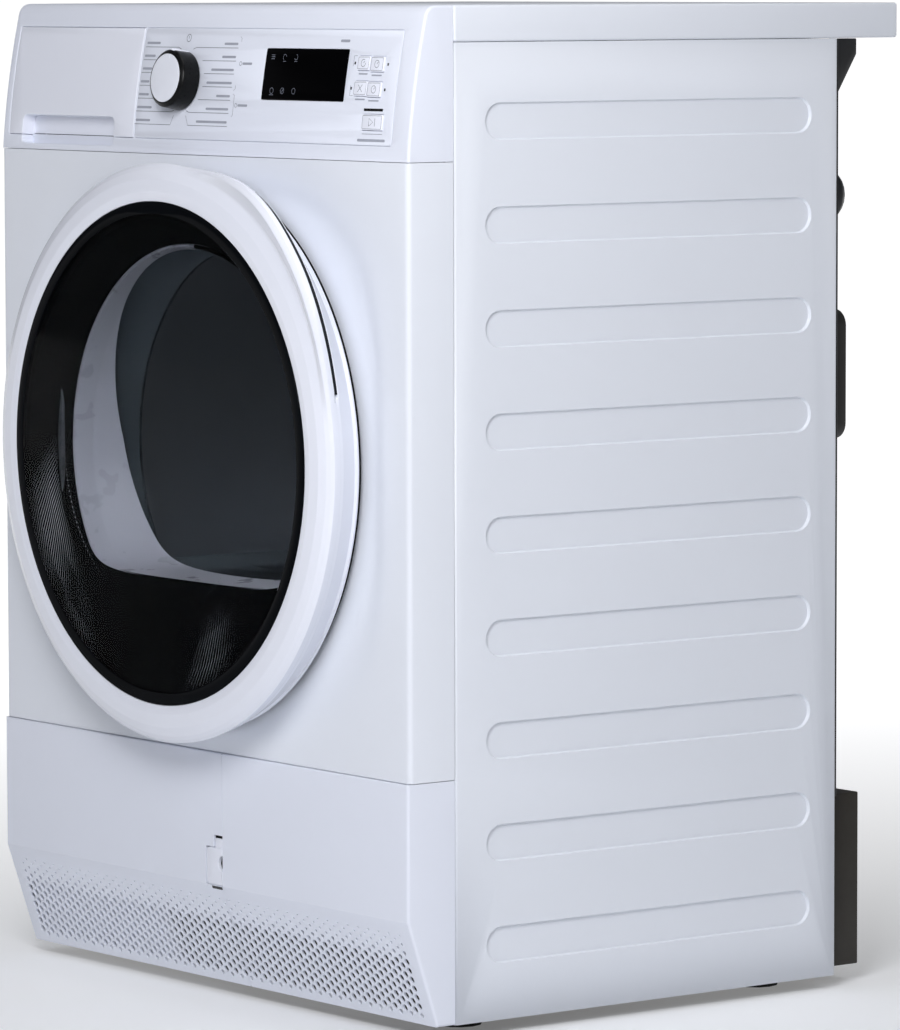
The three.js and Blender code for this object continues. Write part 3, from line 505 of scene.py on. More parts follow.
def plate(outer, holes=(), place=plane(0), edge=1.0, wall=4.0, lines=(), steps=3, lift=0.0,
          hole_edge=None, hole_wall=None):
    """A sheet seen from the front, its rims rounded over and carried back as walls.

    Outlines are loops of (x, z). place() puts (x, depth, z) on the real surface, and lines are the
    z values at which the sheet bends.
    """
    work = bmesh.new()
    loops = []
    for k, loop in enumerate([outer, *holes]):
        loop = list(loop) if area(loop) > 0 else list(reversed(loop))
        rim = edge if k == 0 or hole_edge is None else hole_edge
        back = wall if k == 0 or hole_wall is None else hole_wall
        rows = rim_rows(loop, rim if k == 0 else -rim, back, steps)
        made = [[work.verts.new((p[0], depth - lift, p[1])) for p in points] for points, depth in rows]
        for upper, lower in zip(made, made[1:]):
            for i in range(len(loop)):
                j = (i + 1) % len(loop)
                work.faces.new((upper[i], upper[j], lower[j], lower[i]))
        loops.append(made[0])
    flat_loops = [[Vector((v.co.x, v.co.z, 0)) for v in loop] for loop in loops]
    every = [v for loop in loops for v in loop]
    for triangle in tessellate_polygon(flat_loops):
        if len(set(triangle)) == 3:
            try:
                work.faces.new([every[i] for i in triangle])
            except ValueError:
                continue
    for line in lines:
        geometry = work.verts[:] + work.edges[:] + work.faces[:]
        bmesh.ops.bisect_plane(work, geom=geometry, plane_co=(0, 0, line), plane_no=(0, 0, 1))
    work.verts.index_update()
    verts = [place(v.co.x, v.co.y, v.co.z) for v in work.verts]
    faces = [[v.index for v in face.verts] for face in work.faces]
    work.free()
    return verts, faces


def turned(profile, x=0.0, z=0.0, steps=72, closed=True, shape=None):
    """Points of (radius, depth) turned about a line along the depth; shape(angle) varies them."""
    verts, faces = [], []
    rows = []
    for i in range(steps):
        angle = 2 * math.pi * i / steps
        points = shape(math.degrees(angle)) if shape else profile
        rows.append(len(verts))
        verts.extend((x + r * math.cos(angle), d, z + r * math.sin(angle)) for r, d in points)
    count = len(points)
    for i in range(steps):
        here, there = rows[i], rows[(i + 1) % steps]
        for k in range(count if closed else count - 1):
            j = (k + 1) % count
            faces.append([here + k, here + j, there + j, there + k])
    return verts, faces


def block(x0, x1, y0, y1, z0, z1, edge=0.6):
    """A box with rounded rims all round its front and sides, closed at the back."""
    outline = rectangle(x0, x1, z0, z1, edge * 1.5, 3)
    front = plate(outline, edge=edge, wall=y1 - y0, steps=2)
    front = ([(vx, vd + y0, vz) for vx, vd, vz in front[0]], front[1])
    back = plate(outline, edge=0, wall=0)
    back = ([(vx, y1, vz) for vx, vd, vz in back[0]], back[1])
    return front, back


def refine(node, edge=0.8, segments=2, look=None, sharp=30.0):
    """The CAD node's own shape with its facets joined and its edges rounded."""
    mesh = frame["nodes"][node].data.copy()
    work = bmesh.new()
    work.from_mesh(mesh)
    bmesh.ops.remove_doubles(work, verts=work.verts, dist=1e-6)
    bmesh.ops.dissolve_limit(work, angle_limit=math.radians(1), verts=work.verts, edges=work.edges)
    limit = math.radians(sharp)
    edges = [e for e in work.edges if len(e.link_faces) == 2 and e.calc_face_angle(0) > limit]
    bmesh.ops.bevel(work, geom=edges, offset=edge * MM, segments=segments, profile=0.5,
                    affect="EDGES", clamp_overlap=True)
    work.to_mesh(mesh)
    work.free()
    mesh.materials.clear()
    return stand_in(finish_mesh(node + "_finished", mesh, sharp), node, look)


def carve(thing, *boxes):
    """Cuts (x0, x1, y0, y1, z0, z1) boxes out of a closed piece."""
    for x0, x1, y0, y1, z0, z1 in boxes:
        verts = [(x, y, z) for x in (x0, x1) for y in (y0, y1) for z in (z0, z1)]
        faces = [(0, 1, 3, 2), (4, 6, 7, 5), (0, 4, 5, 1), (2, 3, 7, 6), (0, 2, 6, 4), (1, 5, 7, 3)]
        cutter = build("cutter", (verts, faces))
        step = thing.modifiers.new("cut", "BOOLEAN")
        step.operation = "DIFFERENCE"
        step.solver = "EXACT"
        step.object = cutter
        shown = thing.evaluated_get(bpy.context.evaluated_depsgraph_get())
        mesh = bpy.data.meshes.new_from_object(shown)
        thing.modifiers.clear()
        thing.data = mesh
        bpy.data.objects.remove(cutter)
    thing.data.shade_smooth()
    thing.data.set_sharp_from_angle(angle=math.radians(28))
    return thing


# ---- The leaning fascia -------------------------------------------------------------------
def face_depth(z):
    rise = z - SEAM["fascia"]
    return FACE["lean"] * rise + FACE["curve"] * rise * rise


def face_tilt(z):
    return math.atan(FACE["lean"] + 2 * FACE["curve"] * (z - SEAM["fascia"]))


BROW_TILT = face_tilt(FACE["brow"])
BROW_R = (FACE["top"] - FACE["brow"]) / (1 - math.sin(BROW_TILT))
BROW_END = FACE["brow"] + BROW_R * (math.pi / 2 - BROW_TILT)
BROW_Y = face_depth(FACE["brow"]) + BROW_R * math.cos(BROW_TILT)
FACE_END = BROW_END + FACE["back"] - BROW_Y


def on_face(x, depth, v):
    """The leaning face: v is the height as far as the brow, and then the way over it to the back."""
    if v <= FACE["brow"]:
        y, z, tilt = face_depth(v), v, face_tilt(v)
    elif v <= BROW_END:
        tilt = BROW_TILT + (v - FACE["brow"]) / BROW_R
        y = BROW_Y - BROW_R * math.cos(tilt)
        z = FACE["top"] - BROW_R * (1 - math.sin(tilt))
    else:
        y, z, tilt = BROW_Y + v - BROW_END, FACE["top"], math.pi / 2
    return (x, y + depth * math.cos(tilt), z - depth * math.sin(tilt))


def face_lines(start, end, step):
    count = max(1, round((end - start) / step))
    return [start + (end - start) * i / count for i in range(count + 1)]


FASCIA_LINES = (face_lines(SEAM["fascia"] + 0.2, FACE["brow"], 7.0)
                + face_lines(FACE["brow"], BROW_END, 1.6)[1:] + [FACE_END])


def cap(x, loop, edge, wall, low, high):
    """A side wall in the plane x, its outline given as (depth, z) and held between low and high.

    Only the front rim shows a rounding: the loop reaches past the straight edges, and is held to them.
    """
    side = 1 if x > 0 else -1

    def place(u, d, v):
        return (x - side * d, min(u, FACE["back"]), min(max(v, low), high))

    return plate(loop, place=place, edge=edge, wall=wall, steps=4)


def fascia():
    edge = 2.5
    x0, x1, z0, z1 = spread_box(DRAWER, 0.35)
    opening = rounded([
        (x0, z0, 2), (RECESS[0], z0, 1.2), (RECESS[0], RECESS[2], 6), (RECESS[1], RECESS[2], 6),
        (RECESS[1], z0, 1.2), (x1, z0, 2), (x1, z1, 2), (x0, z1, 2)])
    bottom = SEAM["fascia"] + 0.2
    reach = HALF - edge
    face = plate(rectangle(-reach, reach, bottom, FACE_END), [opening, rectangle(*INLAY, 3.0)], on_face,
                 edge=0, wall=0, lines=FASCIA_LINES, hole_edge=1.1, hole_wall=13.0)
    under = [(-reach, 0.0, bottom), (reach, 0.0, bottom), (reach, FACE["back"], bottom),
             (-reach, FACE["back"], bottom)]
    profile = [on_face(0, 0, v)[1:] for v in FASCIA_LINES[:-1]]
    past = FACE["back"] + edge
    loop = [(-FACE["lean"] * edge, bottom - edge), *profile, (past, FACE["top"]), (past, bottom - edge)]
    sides = [cap(x, loop, edge, 0, bottom, FACE["top"]) for x in (-HALF, HALF)]
    stand_in(build("fascia_moulding", face, (under, [(0, 1, 2, 3)]), *sides), "control_fascia")
    pocket = plate(rectangle(RECESS[0] - 1, RECESS[1] + 1, RECESS[2] - 1, DRAWER[2] - 0.4),
                   place=plane(12.5), edge=0, wall=2)
    beside(build("recess_back", pocket), "control_fascia", "panel_plastic")


def inlay():
    """The printed panel let into the fascia, with the openings for the controls."""
    holes = [ring(21.0, KNOB["x"], KNOB["z"], 40), rectangle(*spread_box(DISPLAY, 0.3), 1.6)]
    holes += [rectangle(*spread_box(place, 0.4), 1.9) for place in BUTTONS.values()]
    sheet = plate(rectangle(*spread_box(INLAY, -0.15), 2.8), holes, on_face, edge=0.5, wall=3.0,
                  lines=face_lines(INLAY[2], INLAY[3], 7.0), steps=2,
                  hole_edge=0.35, hole_wall=6.0)
    beside(build("control_inlay", sheet), "control_fascia", "panel_plastic")


def spread_box(place, margin):
    x0, x1, z0, z1 = place
    return (x0 - margin, x1 + margin, z0 - margin, z1 + margin)


def ribbon(points, width, lift=INK["face"]):
    """A printed line on the leaning face through points of (x, z)."""
    verts = []
    for i, point in enumerate(points):
        here = Vector(point)
        before = Vector(points[max(0, i - 1)])
        after = Vector(points[min(len(points) - 1, i + 1)])
        along = (after - before).normalized()
        across = Vector((-along.y, along.x)) * width / 2
        for spot in (here + across, here - across):
            verts.append(on_face(spot.x, -lift, spot.y))
    return verts, quads(len(points), 2, closed=False)


def blot(loop):
    """A filled printed shape on the leaning face."""
    verts = [on_face(x, -INK["face"], z) for x, z in loop]
    triangles = tessellate_polygon([[Vector((x, z, 0)) for x, z in loop]])
    return verts, [list(t) for t in triangles]


def circle_line(x, z, radius, width, start=0.0, end=360.0, lift=INK["face"]):
    turn = [math.radians(start + (end - start) * i / 20) for i in range(21)]
    return ribbon([(x + radius * math.cos(a), z + radius * math.sin(a)) for a in turn], width, lift)


def pill(x0, x1, z, half=0.55):
    return blot(stadium(x0, x1, z, half, 6))


def leader(side, row, start):
    """A leader line's path from its word to the knob, at a height above the knob's middle."""
    x, z = KNOB["x"], LEGEND["z"]
    if abs(row) < 26:
        return [(start, z + row), (x + side * (math.sqrt(29.0 ** 2 - row ** 2) + 1.0), z + row)]
    return [(start, z + row), (x + side * 13.0, z + row),
            (x + side * 9.0, z + math.copysign(abs(row) * 0.4 + 15.0, row))]


def knob_legend():
    """Leader lines and brackets round the knob, and plain pills where the words stand."""
    x, z = KNOB["x"], LEGEND["z"]
    lines, words = [], []
    for name, (side, outer, lean) in LEGEND["starts"].items():
        for row, length in zip(LEGEND["rows"], LEGEND[name]):
            start = x + outer + lean * row
            lines.append(ribbon(leader(side, row, start), 0.45))
            first, last = sorted((start - side, start - side * (1 + length)))
            words.append(pill(first, last, z + row + 3.4, 1.0))
    edge = x + LEGEND["bracket_x"]
    for top, bottom in LEGEND["brackets"]:
        middle = z + (top + bottom) / 2
        lines.append(ribbon([(edge - 2, z + top), (edge, z + top - 1), (edge, z + bottom + 1),
                             (edge - 2, z + bottom)], 0.4))
        words.append(pill(edge + 6, edge + 20, middle, 1.0))
        lines.append(circle_line(edge + 3.4, middle, 1.6, 0.4))
    lines.append(circle_line(x, z + 35.5, 3.1, 0.5))
    lines.append(ribbon([(x, z + 35.0), (x, z + 37.4)], 0.5))
    return lines, words


def key_middle(name):
    x0, x1, z0, z1 = BUTTONS[name]
    return (x0 + x1) / 2, (z0 + z1) / 2


def key_legend():
    """Brackets left of the keys, and pills under them."""
    lines = []
    words = [pill(190, 203, 820.5, 1.1)]
    left = BUTTONS["option_button_1"][0] - 5.2
    for name, turn in (("option_button_1", 6.0), ("option_button_3", -6.0)):
        middle = key_middle(name)[1]
        lines.append(ribbon([(left + 2.6, middle + turn), (left - 1.6, middle + turn),
                             (left - 1.6, middle - turn * 0.4)], 0.4))
    for name, (x0, x1, z0, _) in BUTTONS.items():
        if name.startswith("option"):
            words.append(pill(x0 + 2.2, x1 - 2.2, z0 - 2.8, 0.6))
    lines.append(ribbon([(234, 745), (261.5, 745)], 0.35))
    words.append(pill(228, 266, 739.8, 1.1))
    return lines, words


def legend():
    (knob_lines, knob_words), (key_lines, key_words) = knob_legend(), key_legend()
    beside(build("legend_lines", *knob_lines, *key_lines), "control_fascia", "ink_grey")
    beside(build("legend_pills", *knob_words, *key_words), "control_fascia", "ink_pale")
    lights = [blot(rectangle(234, 260, 763.6, 765.8, 0.5))]
    for name, x in INDICATORS.items():
        middle = key_middle(name)[1]
        lights.append(blot(rectangle(x - 1.0, x + 1.0, middle - 1.1, middle + 1.1, 0.4)))
    beside(build("indicator_lights", *lights), "control_fascia", "ink_black")


def display():
    x0, x1, z0, z1 = DISPLAY
    sheet = plate(rectangle(x0, x1, z0, z1, 1.5), (), on_face, edge=0.4, wall=2.0,
                  lines=face_lines(z0, z1, 7.0), steps=2, lift=0.3)
    stand_in(build("display_pane", sheet), "display_window")
    strokes = [((8, 805 + 1.6 * i), (13, 805 + 1.6 * i), 0.5) for i in range(3)]
    strokes += [((25, 803), (29, 803), 0.45), ((41, 803), (45, 803), 0.45)]
    strokes += [((11, 775), (17, 775), 0.5), ((28, 777), (30.5, 780), 0.5)]
    marks = [ribbon([(x0 + xa, za), (x0 + xb, zb)], width, INK["display"])
             for (xa, za), (xb, zb), width in strokes]
    circles = [(27, 806.5, 2.2, 0, 250), (43, 806.5, 2.2, 200, 450)]
    circles += [(x, 778.5, 2.4, 0, 360) for x in (14, 29, 45)]
    for x, z, radius, start, end in circles:
        marks.append(circle_line(x0 + x, z, radius, 0.45, start, end, INK["display"]))
    beside(build("display_signs", *marks), "display_window", "ink_grey")


def buttons():
    for name, (x0, x1, z0, z1) in BUTTONS.items():
        keycap = plate(rectangle(x0, x1, z0, z1, 1.6), (), on_face, edge=0.7, wall=8.0,
                       lines=face_lines(z0, z1, 6.0), lift=1.3)
        stand_in(build(name + "_keycap", keycap), name)
        x, z = key_middle(name)
        rim = rectangle(x0 + 1.1, x1 - 1.1, z0 + 1.1, z1 - 1.1, 1.0, 3)
        marks = [ribbon(rim + rim[:2], 0.35, INK["key"])]
        if name not in KEY_SIGNS:
            start = 60 if name == "option_button_1" else 0
            marks.append(circle_line(x, z, 3.0, 0.45, start, 360, INK["key"]))
        width = 0.5 if name == "start_button" else 0.45
        for line in KEY_SIGNS.get(name, CLOCK_HAND):
            marks.append(ribbon([(x + dx, z + dz) for dx, dz in line], width, INK["key"]))
        beside(build(name + "_sign", *marks), name, "ink_grey")


def on_knob(part):
    """Sets a part drawn about the origin on the leaning face, where the knob is and as it is turned."""
    tilt = face_tilt(KNOB["z"])
    base = face_depth(KNOB["z"])
    cos, sin = polar(1.0, math.radians(KNOB["turn"]))
    verts, faces = part
    placed = []
    for x, d, z in verts:
        across, high = x * cos - z * sin, x * sin + z * cos
        y = d * math.cos(tilt) + high * math.sin(tilt)
        up = high * math.cos(tilt) - d * math.sin(tilt)
        placed.append((KNOB["x"] + across, base + y, KNOB["z"] + up))
    return placed, faces


def knob():
    r, cap_r, reach = KNOB["r"], KNOB["cap"], KNOB["reach"]
    under = -reach + 1.2
    body = rounded([(3, -0.8, 0.2), (r, -0.8, 0.6), (r - 0.5, -reach + 3, 3),
                    (cap_r + 0.6, -reach + 0.3, 0.8), (cap_r + 0.3, under, 0.2), (3, under, 0)])
    stand_in(build("knob_body", on_knob(turned(body, steps=96))), "programme_knob", "knob_black")
    face = rounded([(0, -reach, 0), (cap_r, -reach, 0.5), (cap_r, -reach + 1.6, 0), (0, -reach + 1.6, 0)])
    face = [(radius, d + 0.35 * (radius / cap_r) ** 2) for radius, d in face]
    beside(build("knob_cap", on_knob(turned(face, steps=96))), "programme_knob", "knob_face")
    pointer = plate(rectangle(-2.1, 2.1, under, -1.6, 0.9, 3), edge=0.35, wall=1.6, steps=2,
                    place=lambda u, d, v: (u, v, r + 0.6 - d - 0.5 * u * u / r))
    corners = [(-1.7, cap_r - 0.4, 0.3), (1.7, cap_r - 0.4, 0.3), (0, cap_r - 5.0, 0.5)]
    tick = plate(rounded(corners, steps=2), place=plane(-reach - 0.1), edge=0.2, wall=0.8, steps=2)
    beside(build("knob_pointer", on_knob(pointer), on_knob(tick)), "programme_knob", "white_plastic")


def drawer():
    x0, x1, z0, z1 = DRAWER
    outline = rounded([(x0, z0, 1.5), (RECESS[0], z0, 1.5), (RECESS[0], RECESS[3], 7),
                       (RECESS[1], RECESS[3], 7), (RECESS[1], z0, 1.5), (x1, z0, 1.5), (x1, z1, 1.5),
                       (x0, z1, 1.5)], steps=5)
    front = plate(outline, (), on_face, edge=1.0, wall=14.0, lines=face_lines(z0, z1, 7.0))
    scoop = plate(rectangle(RECESS[0] - 0.5, RECESS[1] + 0.5, z0 + 0.2, RECESS[3] + 0.5),
                  place=plane(14.4), edge=0, wall=1.6)
    stand_in(build("drawer_panel", front, scoop), "drawer_front")


# ---- Casing -------------------------------------------------------------------------------
def pressed_rib(side, z):
    """A stadium-shaped rib's sloped wall and floor, and the outline of its mouth."""
    rows = [(stadium(RIB["front"] + s, RIB["rear"] - s, z, RIB["half"] - s), d) for s, d in RIB_STEPS]
    verts = [(side * (HALF - depth), y, zz) for loop, depth in rows for y, zz in loop]
    mouth = rows[0][0]
    inner = list(range(len(verts) - len(mouth), len(verts)))
    return (verts, quads(len(rows), len(mouth)) + [inner]), mouth


def side_bend(side, start, way, foot):
    """The panel's rounded front or rear edge and the flange behind it."""
    bend, bottom, top = SIDE["bend"], SIDE["bottom"], SIDE["top"]
    verts, faces = [], []
    for i in range(6):
        out, along = polar(bend, math.pi / 2 * i / 5)
        x, y = side * (HALF - bend + out), start + way * (bend - along)
        verts += [(x, y, bottom), (x, y, foot), (x, y, top)]
    for i in range(5):
        a, b = 3 * i, 3 * i + 3
        faces += [(a, b, b + 1, a + 1), (a + 1, b + 1, b + 2, a + 2)]
    last = len(verts)
    x = side * (HALF - SIDE["flange"])
    verts += [(x, start, foot), (x, start, top)]
    faces.append((last - 2, last, last + 1, last - 1))
    return verts, faces


def side_panel(side):
    """Painted sheet with ribs pressed into it, bent in at the front and rear."""
    kick, bottom, top = SEAM["kick"], SIDE["bottom"], SIDE["top"]
    y0, y1 = SIDE["front"] + SIDE["bend"], SIDE["rear"] - SIDE["bend"]
    ribs = [pressed_rib(side, RIB["first"] - RIB["pitch"] * i) for i in range(RIB["count"])]
    outer = [(y0, bottom), (y1, bottom), (y1, top), (y0, top), (y0, kick)]
    face = plate(outer, [mouth for _, mouth in ribs], lambda u, d, v: (side * HALF, u, v), edge=0, wall=0)
    bends = [side_bend(side, SIDE["front"], 1, kick), side_bend(side, SIDE["rear"], -1, bottom)]
    name = "right" if side > 0 else "left"
    panel = build("side_sheet_" + name, *[rib for rib, _ in ribs], face, *bends)
    thicken(panel, 1.0)
    stand_in(panel, "side_panel_" + name)


def thicken(thing, thickness):
    """Gives an open sheet, whose normals face outwards, a thickness on its inside."""
    outward_normals(thing)
    step = thing.modifiers.new("sheet", "SOLIDIFY")
    step.thickness = thickness * MM
    step.offset = -1
    step.use_rim = True


def outward_normals(thing):
    """Turns the sheet's faces outwards if more of them face the object's middle than away."""
    middle = at(0, 230, 425)
    lean = sum((f.center - middle).dot(f.normal) * f.area for f in thing.data.polygons)
    if lean < 0:
        thing.data.flip_normals()


def dish(x, z):
    """How far the front is pressed in round the door, at a place measured from the port's centre."""
    power = DISH["power"]
    share = (abs(x / DISH["x"]) ** power + abs(z / DISH["z"]) ** power) ** (1 / power)
    fade = ease((z + 235) / 150)
    return DISH["deep"] * ease((1 - share) / DISH["slope"]) * (0.35 + 0.65 * fade)


def open_rows(angle):
    """The rows of the front sheet left open at the lock and at the hinge."""
    if min(angle, 360 - angle) < OPENINGS["lock"][0]:
        return OPENINGS["lock"][1]
    if abs(angle - 180) < OPENINGS["hinge"][0]:
        return OPENINGS["hinge"][1]
    return ()


def front_angles(x1, bottom, top):
    """Every 2.5 degrees, and the angles of the sheet's corners and of the openings' sides."""
    extra = [math.degrees(math.atan2(z, x)) for x in (-x1, x1) for z in (bottom, top)]
    extra += [middle + way * OPENINGS[name][0] for middle, name in ((0, "lock"), (180, "hinge"))
              for way in (-1, 1)]
    return sorted({round(2.5 * i, 4) for i in range(144)} | {round(a % 360, 4) for a in extra})


def front_sheet():
    bend = 4.5
    x1 = HALF - bend
    bottom = SEAM["kick"] + SEAM["gap"] - PORT_Z
    top = SEAM["fascia"] - SEAM["gap"] - PORT_Z
    angles = front_angles(x1, bottom, top)
    verts, faces = [], []
    for angle in angles:
        cos, sin = polar(1.0, math.radians(angle))
        way = min(x1 / abs(cos) if abs(cos) > 1e-9 else 1e9,
                  (top if sin > 0 else -bottom) / abs(sin) if abs(sin) > 1e-9 else 1e9)
        mouth_x, mouth_z = PORT_HOLE * cos, PORT_HOLE * sin
        verts.append((mouth_x, 9.0, PORT_Z + mouth_z))
        verts.append((mouth_x, dish(mouth_x, mouth_z) + 1.0, PORT_Z + mouth_z))
        for share in DISH_ROWS:
            r = PORT_HOLE + 0.8 + (way - PORT_HOLE - 0.8) * share
            verts.append((r * cos, dish(r * cos, r * sin), PORT_Z + r * sin))
        edge_x = math.copysign(1, cos) if abs(abs(way * cos) - x1) < 0.01 else 0
        deep, turn = (46.2, bend) if edge_x else (11.0, 1.0)
        for a in (0.4, 0.8, 1.2, math.pi / 2):
            verts.append((way * cos + edge_x * bend * math.sin(a), turn * (1 - math.cos(a)),
                          PORT_Z + way * sin))
        verts.append((way * cos + edge_x * bend, deep, PORT_Z + way * sin))
    count = len(verts) // len(angles)
    for i in range(len(angles)):
        a, b = i * count, ((i + 1) % len(angles)) * count
        middle = (angles[i] + (angles[(i + 1) % len(angles)] - angles[i]) % 360 / 2) % 360
        faces.extend((a + k, a + k + 1, b + k + 1, b + k) for k in range(count - 1)
                     if k not in open_rows(middle))
    stand_in(build("front_sheet", (verts, faces)), "front_panel")
    # A dark strip in the rubber look round the door: painted shade for the shadowed gap under its rim.
    shade_band = turned(None, 0, PORT_Z, 180, False, gap_shade_outline)
    beside(build("front_panel_gap_shade", shade_band), "front_panel", "black_rubber")


def gap_shade_outline(angle):
    """The dark strip under the door's rim, painted shade for the shadowed gap there: narrow at the latch
    side, wider towards the hinge.
    """
    turn = math.radians(angle)
    outer = DOOR_GAP_SHADE["outer"] + DOOR_GAP_SHADE["wider"] * min(1.0, 1 - math.cos(turn))
    return [(radius, dish(*polar(radius, turn)) - DOOR_GAP_SHADE["lift"]) for radius in (DOOR_GAP_SHADE["inner"], outer)]


# ---- Kick panels --------------------------------------------------------------------------
KICK_DROP = KICK["fold"] - KICK["bottom"]
KICK_RUN = KICK["back"] + KICK["proud"]
SLOPE = math.hypot(KICK_DROP, KICK_RUN)


def on_kick(x, depth, v):
    """The kick panel: v is the height above the fold, and minus the way down the slope below it."""
    if v >= 0:
        return (x, depth - KICK["proud"], KICK["fold"] + v)
    cos, sin = KICK_DROP / SLOPE, KICK_RUN / SLOPE
    return (x, -KICK["proud"] - v * sin + depth * cos, KICK["fold"] + v * cos + depth * sin)


def cell_border(x, s):
    """24 points round one hole's cell, starting in the middle of its right side."""
    half_x, half_s = GRILLE["column"] / 2, GRILLE["pitch"] / 2
    right = [(x + half_x, s + half_s * i / 4) for i in range(5)]
    over = [(x + half_x * i / 2, s + half_s) for i in (1, 0, -1)]
    left = [(x - half_x, s + half_s * i / 4) for i in range(4, -5, -1)]
    under = [(x + half_x * i / 2, s - half_s) for i in (-1, 0, 1)]
    back = [(x + half_x, s + half_s * i / 4) for i in range(-4, 0)]
    return right + over + left + under + back


def half_border(x, low, high):
    """The points round the half cell that ends a column whose holes are shifted."""
    half_x = GRILLE["column"] / 2
    spots = [(x + half_x, low + (high - low) * i / 4) for i in range(5)]
    spots += [(x + half_x * i / 2, high) for i in (1, 0, -1)]
    spots += [(x - half_x, low + (high - low) * i / 4) for i in range(4, -1, -1)]
    return spots + [(x + half_x * i / 2, low) for i in (-1, 0, 1)]


def grille(columns, x0, x1):
    """The sloping face with its staggered holes, in one sheet with a front, a back and hole walls."""
    half_x, half_s, deep = GRILLE["column"] / 2, GRILLE["pitch"] / 2, GRILLE["deep"]
    verts, faces = [], []

    def add(loop, depth):
        start = len(verts)
        verts.extend(on_kick(x, depth, -s) for x, s in loop)
        return list(range(start, start + len(loop)))

    def bridge(loops):
        for one, two in zip(loops, loops[1:]):
            for i in range(len(one)):
                j = (i + 1) % len(one)
                faces.append((one[i], one[j], two[j], two[i]))

    start_s = GRILLE["first"] - half_s
    end_s = GRILLE["first"] + half_s * len(GRILLE_SIZES)
    for j, x in columns:
        odd = j % 2
        if odd:
            for low, high in ((start_s, start_s + half_s), (end_s - half_s, end_s)):
                faces.extend(add(half_border(x, low, high), depth) for depth in (0, deep))
        for k in range(odd, len(GRILLE_SIZES), 2):
            s = GRILLE["first"] + half_s * k
            cell, radius = cell_border(x, s), GRILLE_SIZES[k] / 2
            hole, wide = ring(radius, x, s, len(cell)), ring(radius + 0.25, x, s, len(cell))
            bridge([add(cell, 0), add(wide, 0), add(hole, 0.3), add(hole, deep), add(cell, deep)])
    columns_x = [x for _, x in columns]
    low_x, high_x = min(columns_x) - half_x, max(columns_x) + half_x
    steps = round((end_s - start_s) / (half_s / 4))
    down = [start_s + (end_s - start_s) * i / steps for i in range(steps + 1)]
    across = sorted({round(x + half_x * i / 2, 6) for x in columns_x for i in range(-2, 3)})
    for depth in (0, deep):
        faces.append(add([(low_x, s) for s in down] + [(x0, SLOPE), (x0, 0)], depth))
        faces.append(add([(high_x, s) for s in down] + [(x1, SLOPE), (x1, 0)], depth))
        faces.append(add([(x, start_s) for x in across] + [(x1, 0), (x0, 0)], depth))
        faces.append(add([(x, end_s) for x in across] + [(x1, SLOPE), (x0, SLOPE)], depth))
    return verts, faces


def kick_upper(outline):
    """The upright part of a kick panel."""
    return plate(outline, place=plane(-KICK["proud"]), edge=0.0, wall=2.2)


def kick_brim(x0, x1):
    """The rounding along a kick panel's upper edge, and its narrow top."""
    turn = KICK["brim"]
    rows = [(-KICK["proud"] + turn * (1 - math.cos(a)), KICK["top"] - turn * (1 - math.sin(a)))
            for a in (0, 0.4, 0.8, 1.2, math.pi / 2)]
    rows.append((9.0, KICK["top"]))
    return [(x, depth, z) for depth, z in rows for x in (x0, x1)], quads(len(rows), 2, closed=False)


def kick_side(x):
    edge = KICK["edge"]
    past, over = FACE["back"] + edge, KICK["top"] + edge
    loop = [(-KICK["proud"], over), (-KICK["proud"], KICK["fold"]), (KICK["back"], KICK["bottom"]),
            (past, KICK["bottom"]), (past, over)]
    return cap(x, loop, edge, 0.0, KICK["bottom"], KICK["top"])


def kick_panel(name, node, outline, columns, side):
    """A kick panel from its upright part's outline, its columns of holes and its outer side."""
    x0, x1 = min(x for x, _ in outline), max(x for x, _ in outline)
    slope = grille(columns, x0, x1)
    parts = (kick_upper(outline), kick_brim(x0, x1), slope, kick_side(side * HALF))
    stand_in(build(name, *parts, sharp=12), node)


def kick_panels():
    reach, gap, fold = HALF - KICK["edge"], 0.3, KICK["fold"]
    right_x, left_x, high = KICK["split"] + gap, KICK["split"] - gap, KICK["top"] - KICK["brim"]
    pitch = GRILLE["column"]
    gap_low, gap_high = LATCH["gap"][0][1], LATCH["gap"][-1][1]
    kick_panel("kick_right_moulding", "kick_panel_right",
               [(right_x, fold), (reach, fold), (reach, high), (right_x, high)],
               [(j, GRILLE["x"] + pitch * j) for j in range(35)], 1)
    kick_panel("flap_moulding", "access_flap",
               [(-reach, fold), (left_x, fold), (left_x, gap_low), *LATCH["gap"], (left_x, gap_high),
                (left_x, high), (-reach, high)],
               [(j + 1, GRILLE["x"] - pitch * (j + 1)) for j in range(45)], -1)
    pad = plate(rectangle(-286, -70, -90, -8), place=on_kick, edge=0, wall=1.2, lift=-6.0)
    beside(build("flap_liner", pad), "access_flap", "foam_liner")
    dark = plate(rectangle(-66, 33, -88, -6), place=on_kick, edge=0, wall=1.0, lift=-7.0)
    beside(build("flap_screen", dark), "access_flap", "black_plastic")
    flap_latch()


def flap_latch():
    """The latch with its half-round finger hole, and the well it lies in."""
    proud = KICK["proud"]
    tab = plate(rounded(LATCH["tab"]), place=plane(-proud), wall=3.2)
    stub = plate(rectangle(*LATCH["stub"], 0.8, 2), place=plane(0.7 - proud), edge=0.5, wall=2.0)
    stand_in(build("latch_tab", tab, stub), "flap_latch")
    well = plate(rectangle(*LATCH["well"]), place=plane(5.0), edge=0, wall=1.0)
    notch = plate(rectangle(*LATCH["notch"], 0.8), place=on_kick, edge=0, wall=0.3, lift=0.05)
    beside(build("latch_well", well, notch), "access_flap", "black_plastic")


# ---- Door ---------------------------------------------------------------------------------
def between(angle, marks):
    """0 at a feature's ends and 1 along it, easing over the angles in marks."""
    (low_start, low_end), (high_start, high_end) = marks["low"], marks["high"]
    rising = ease((angle - low_start) / (low_end - low_start))
    return rising * (1 - ease((angle - high_start) / (high_end - high_start)))


def grown(corners, share):
    """The ring's corners with their share of the finger lip added."""
    return [(r + share * dr, d + share * dd, size) for r, d, dr, dd, size in corners]


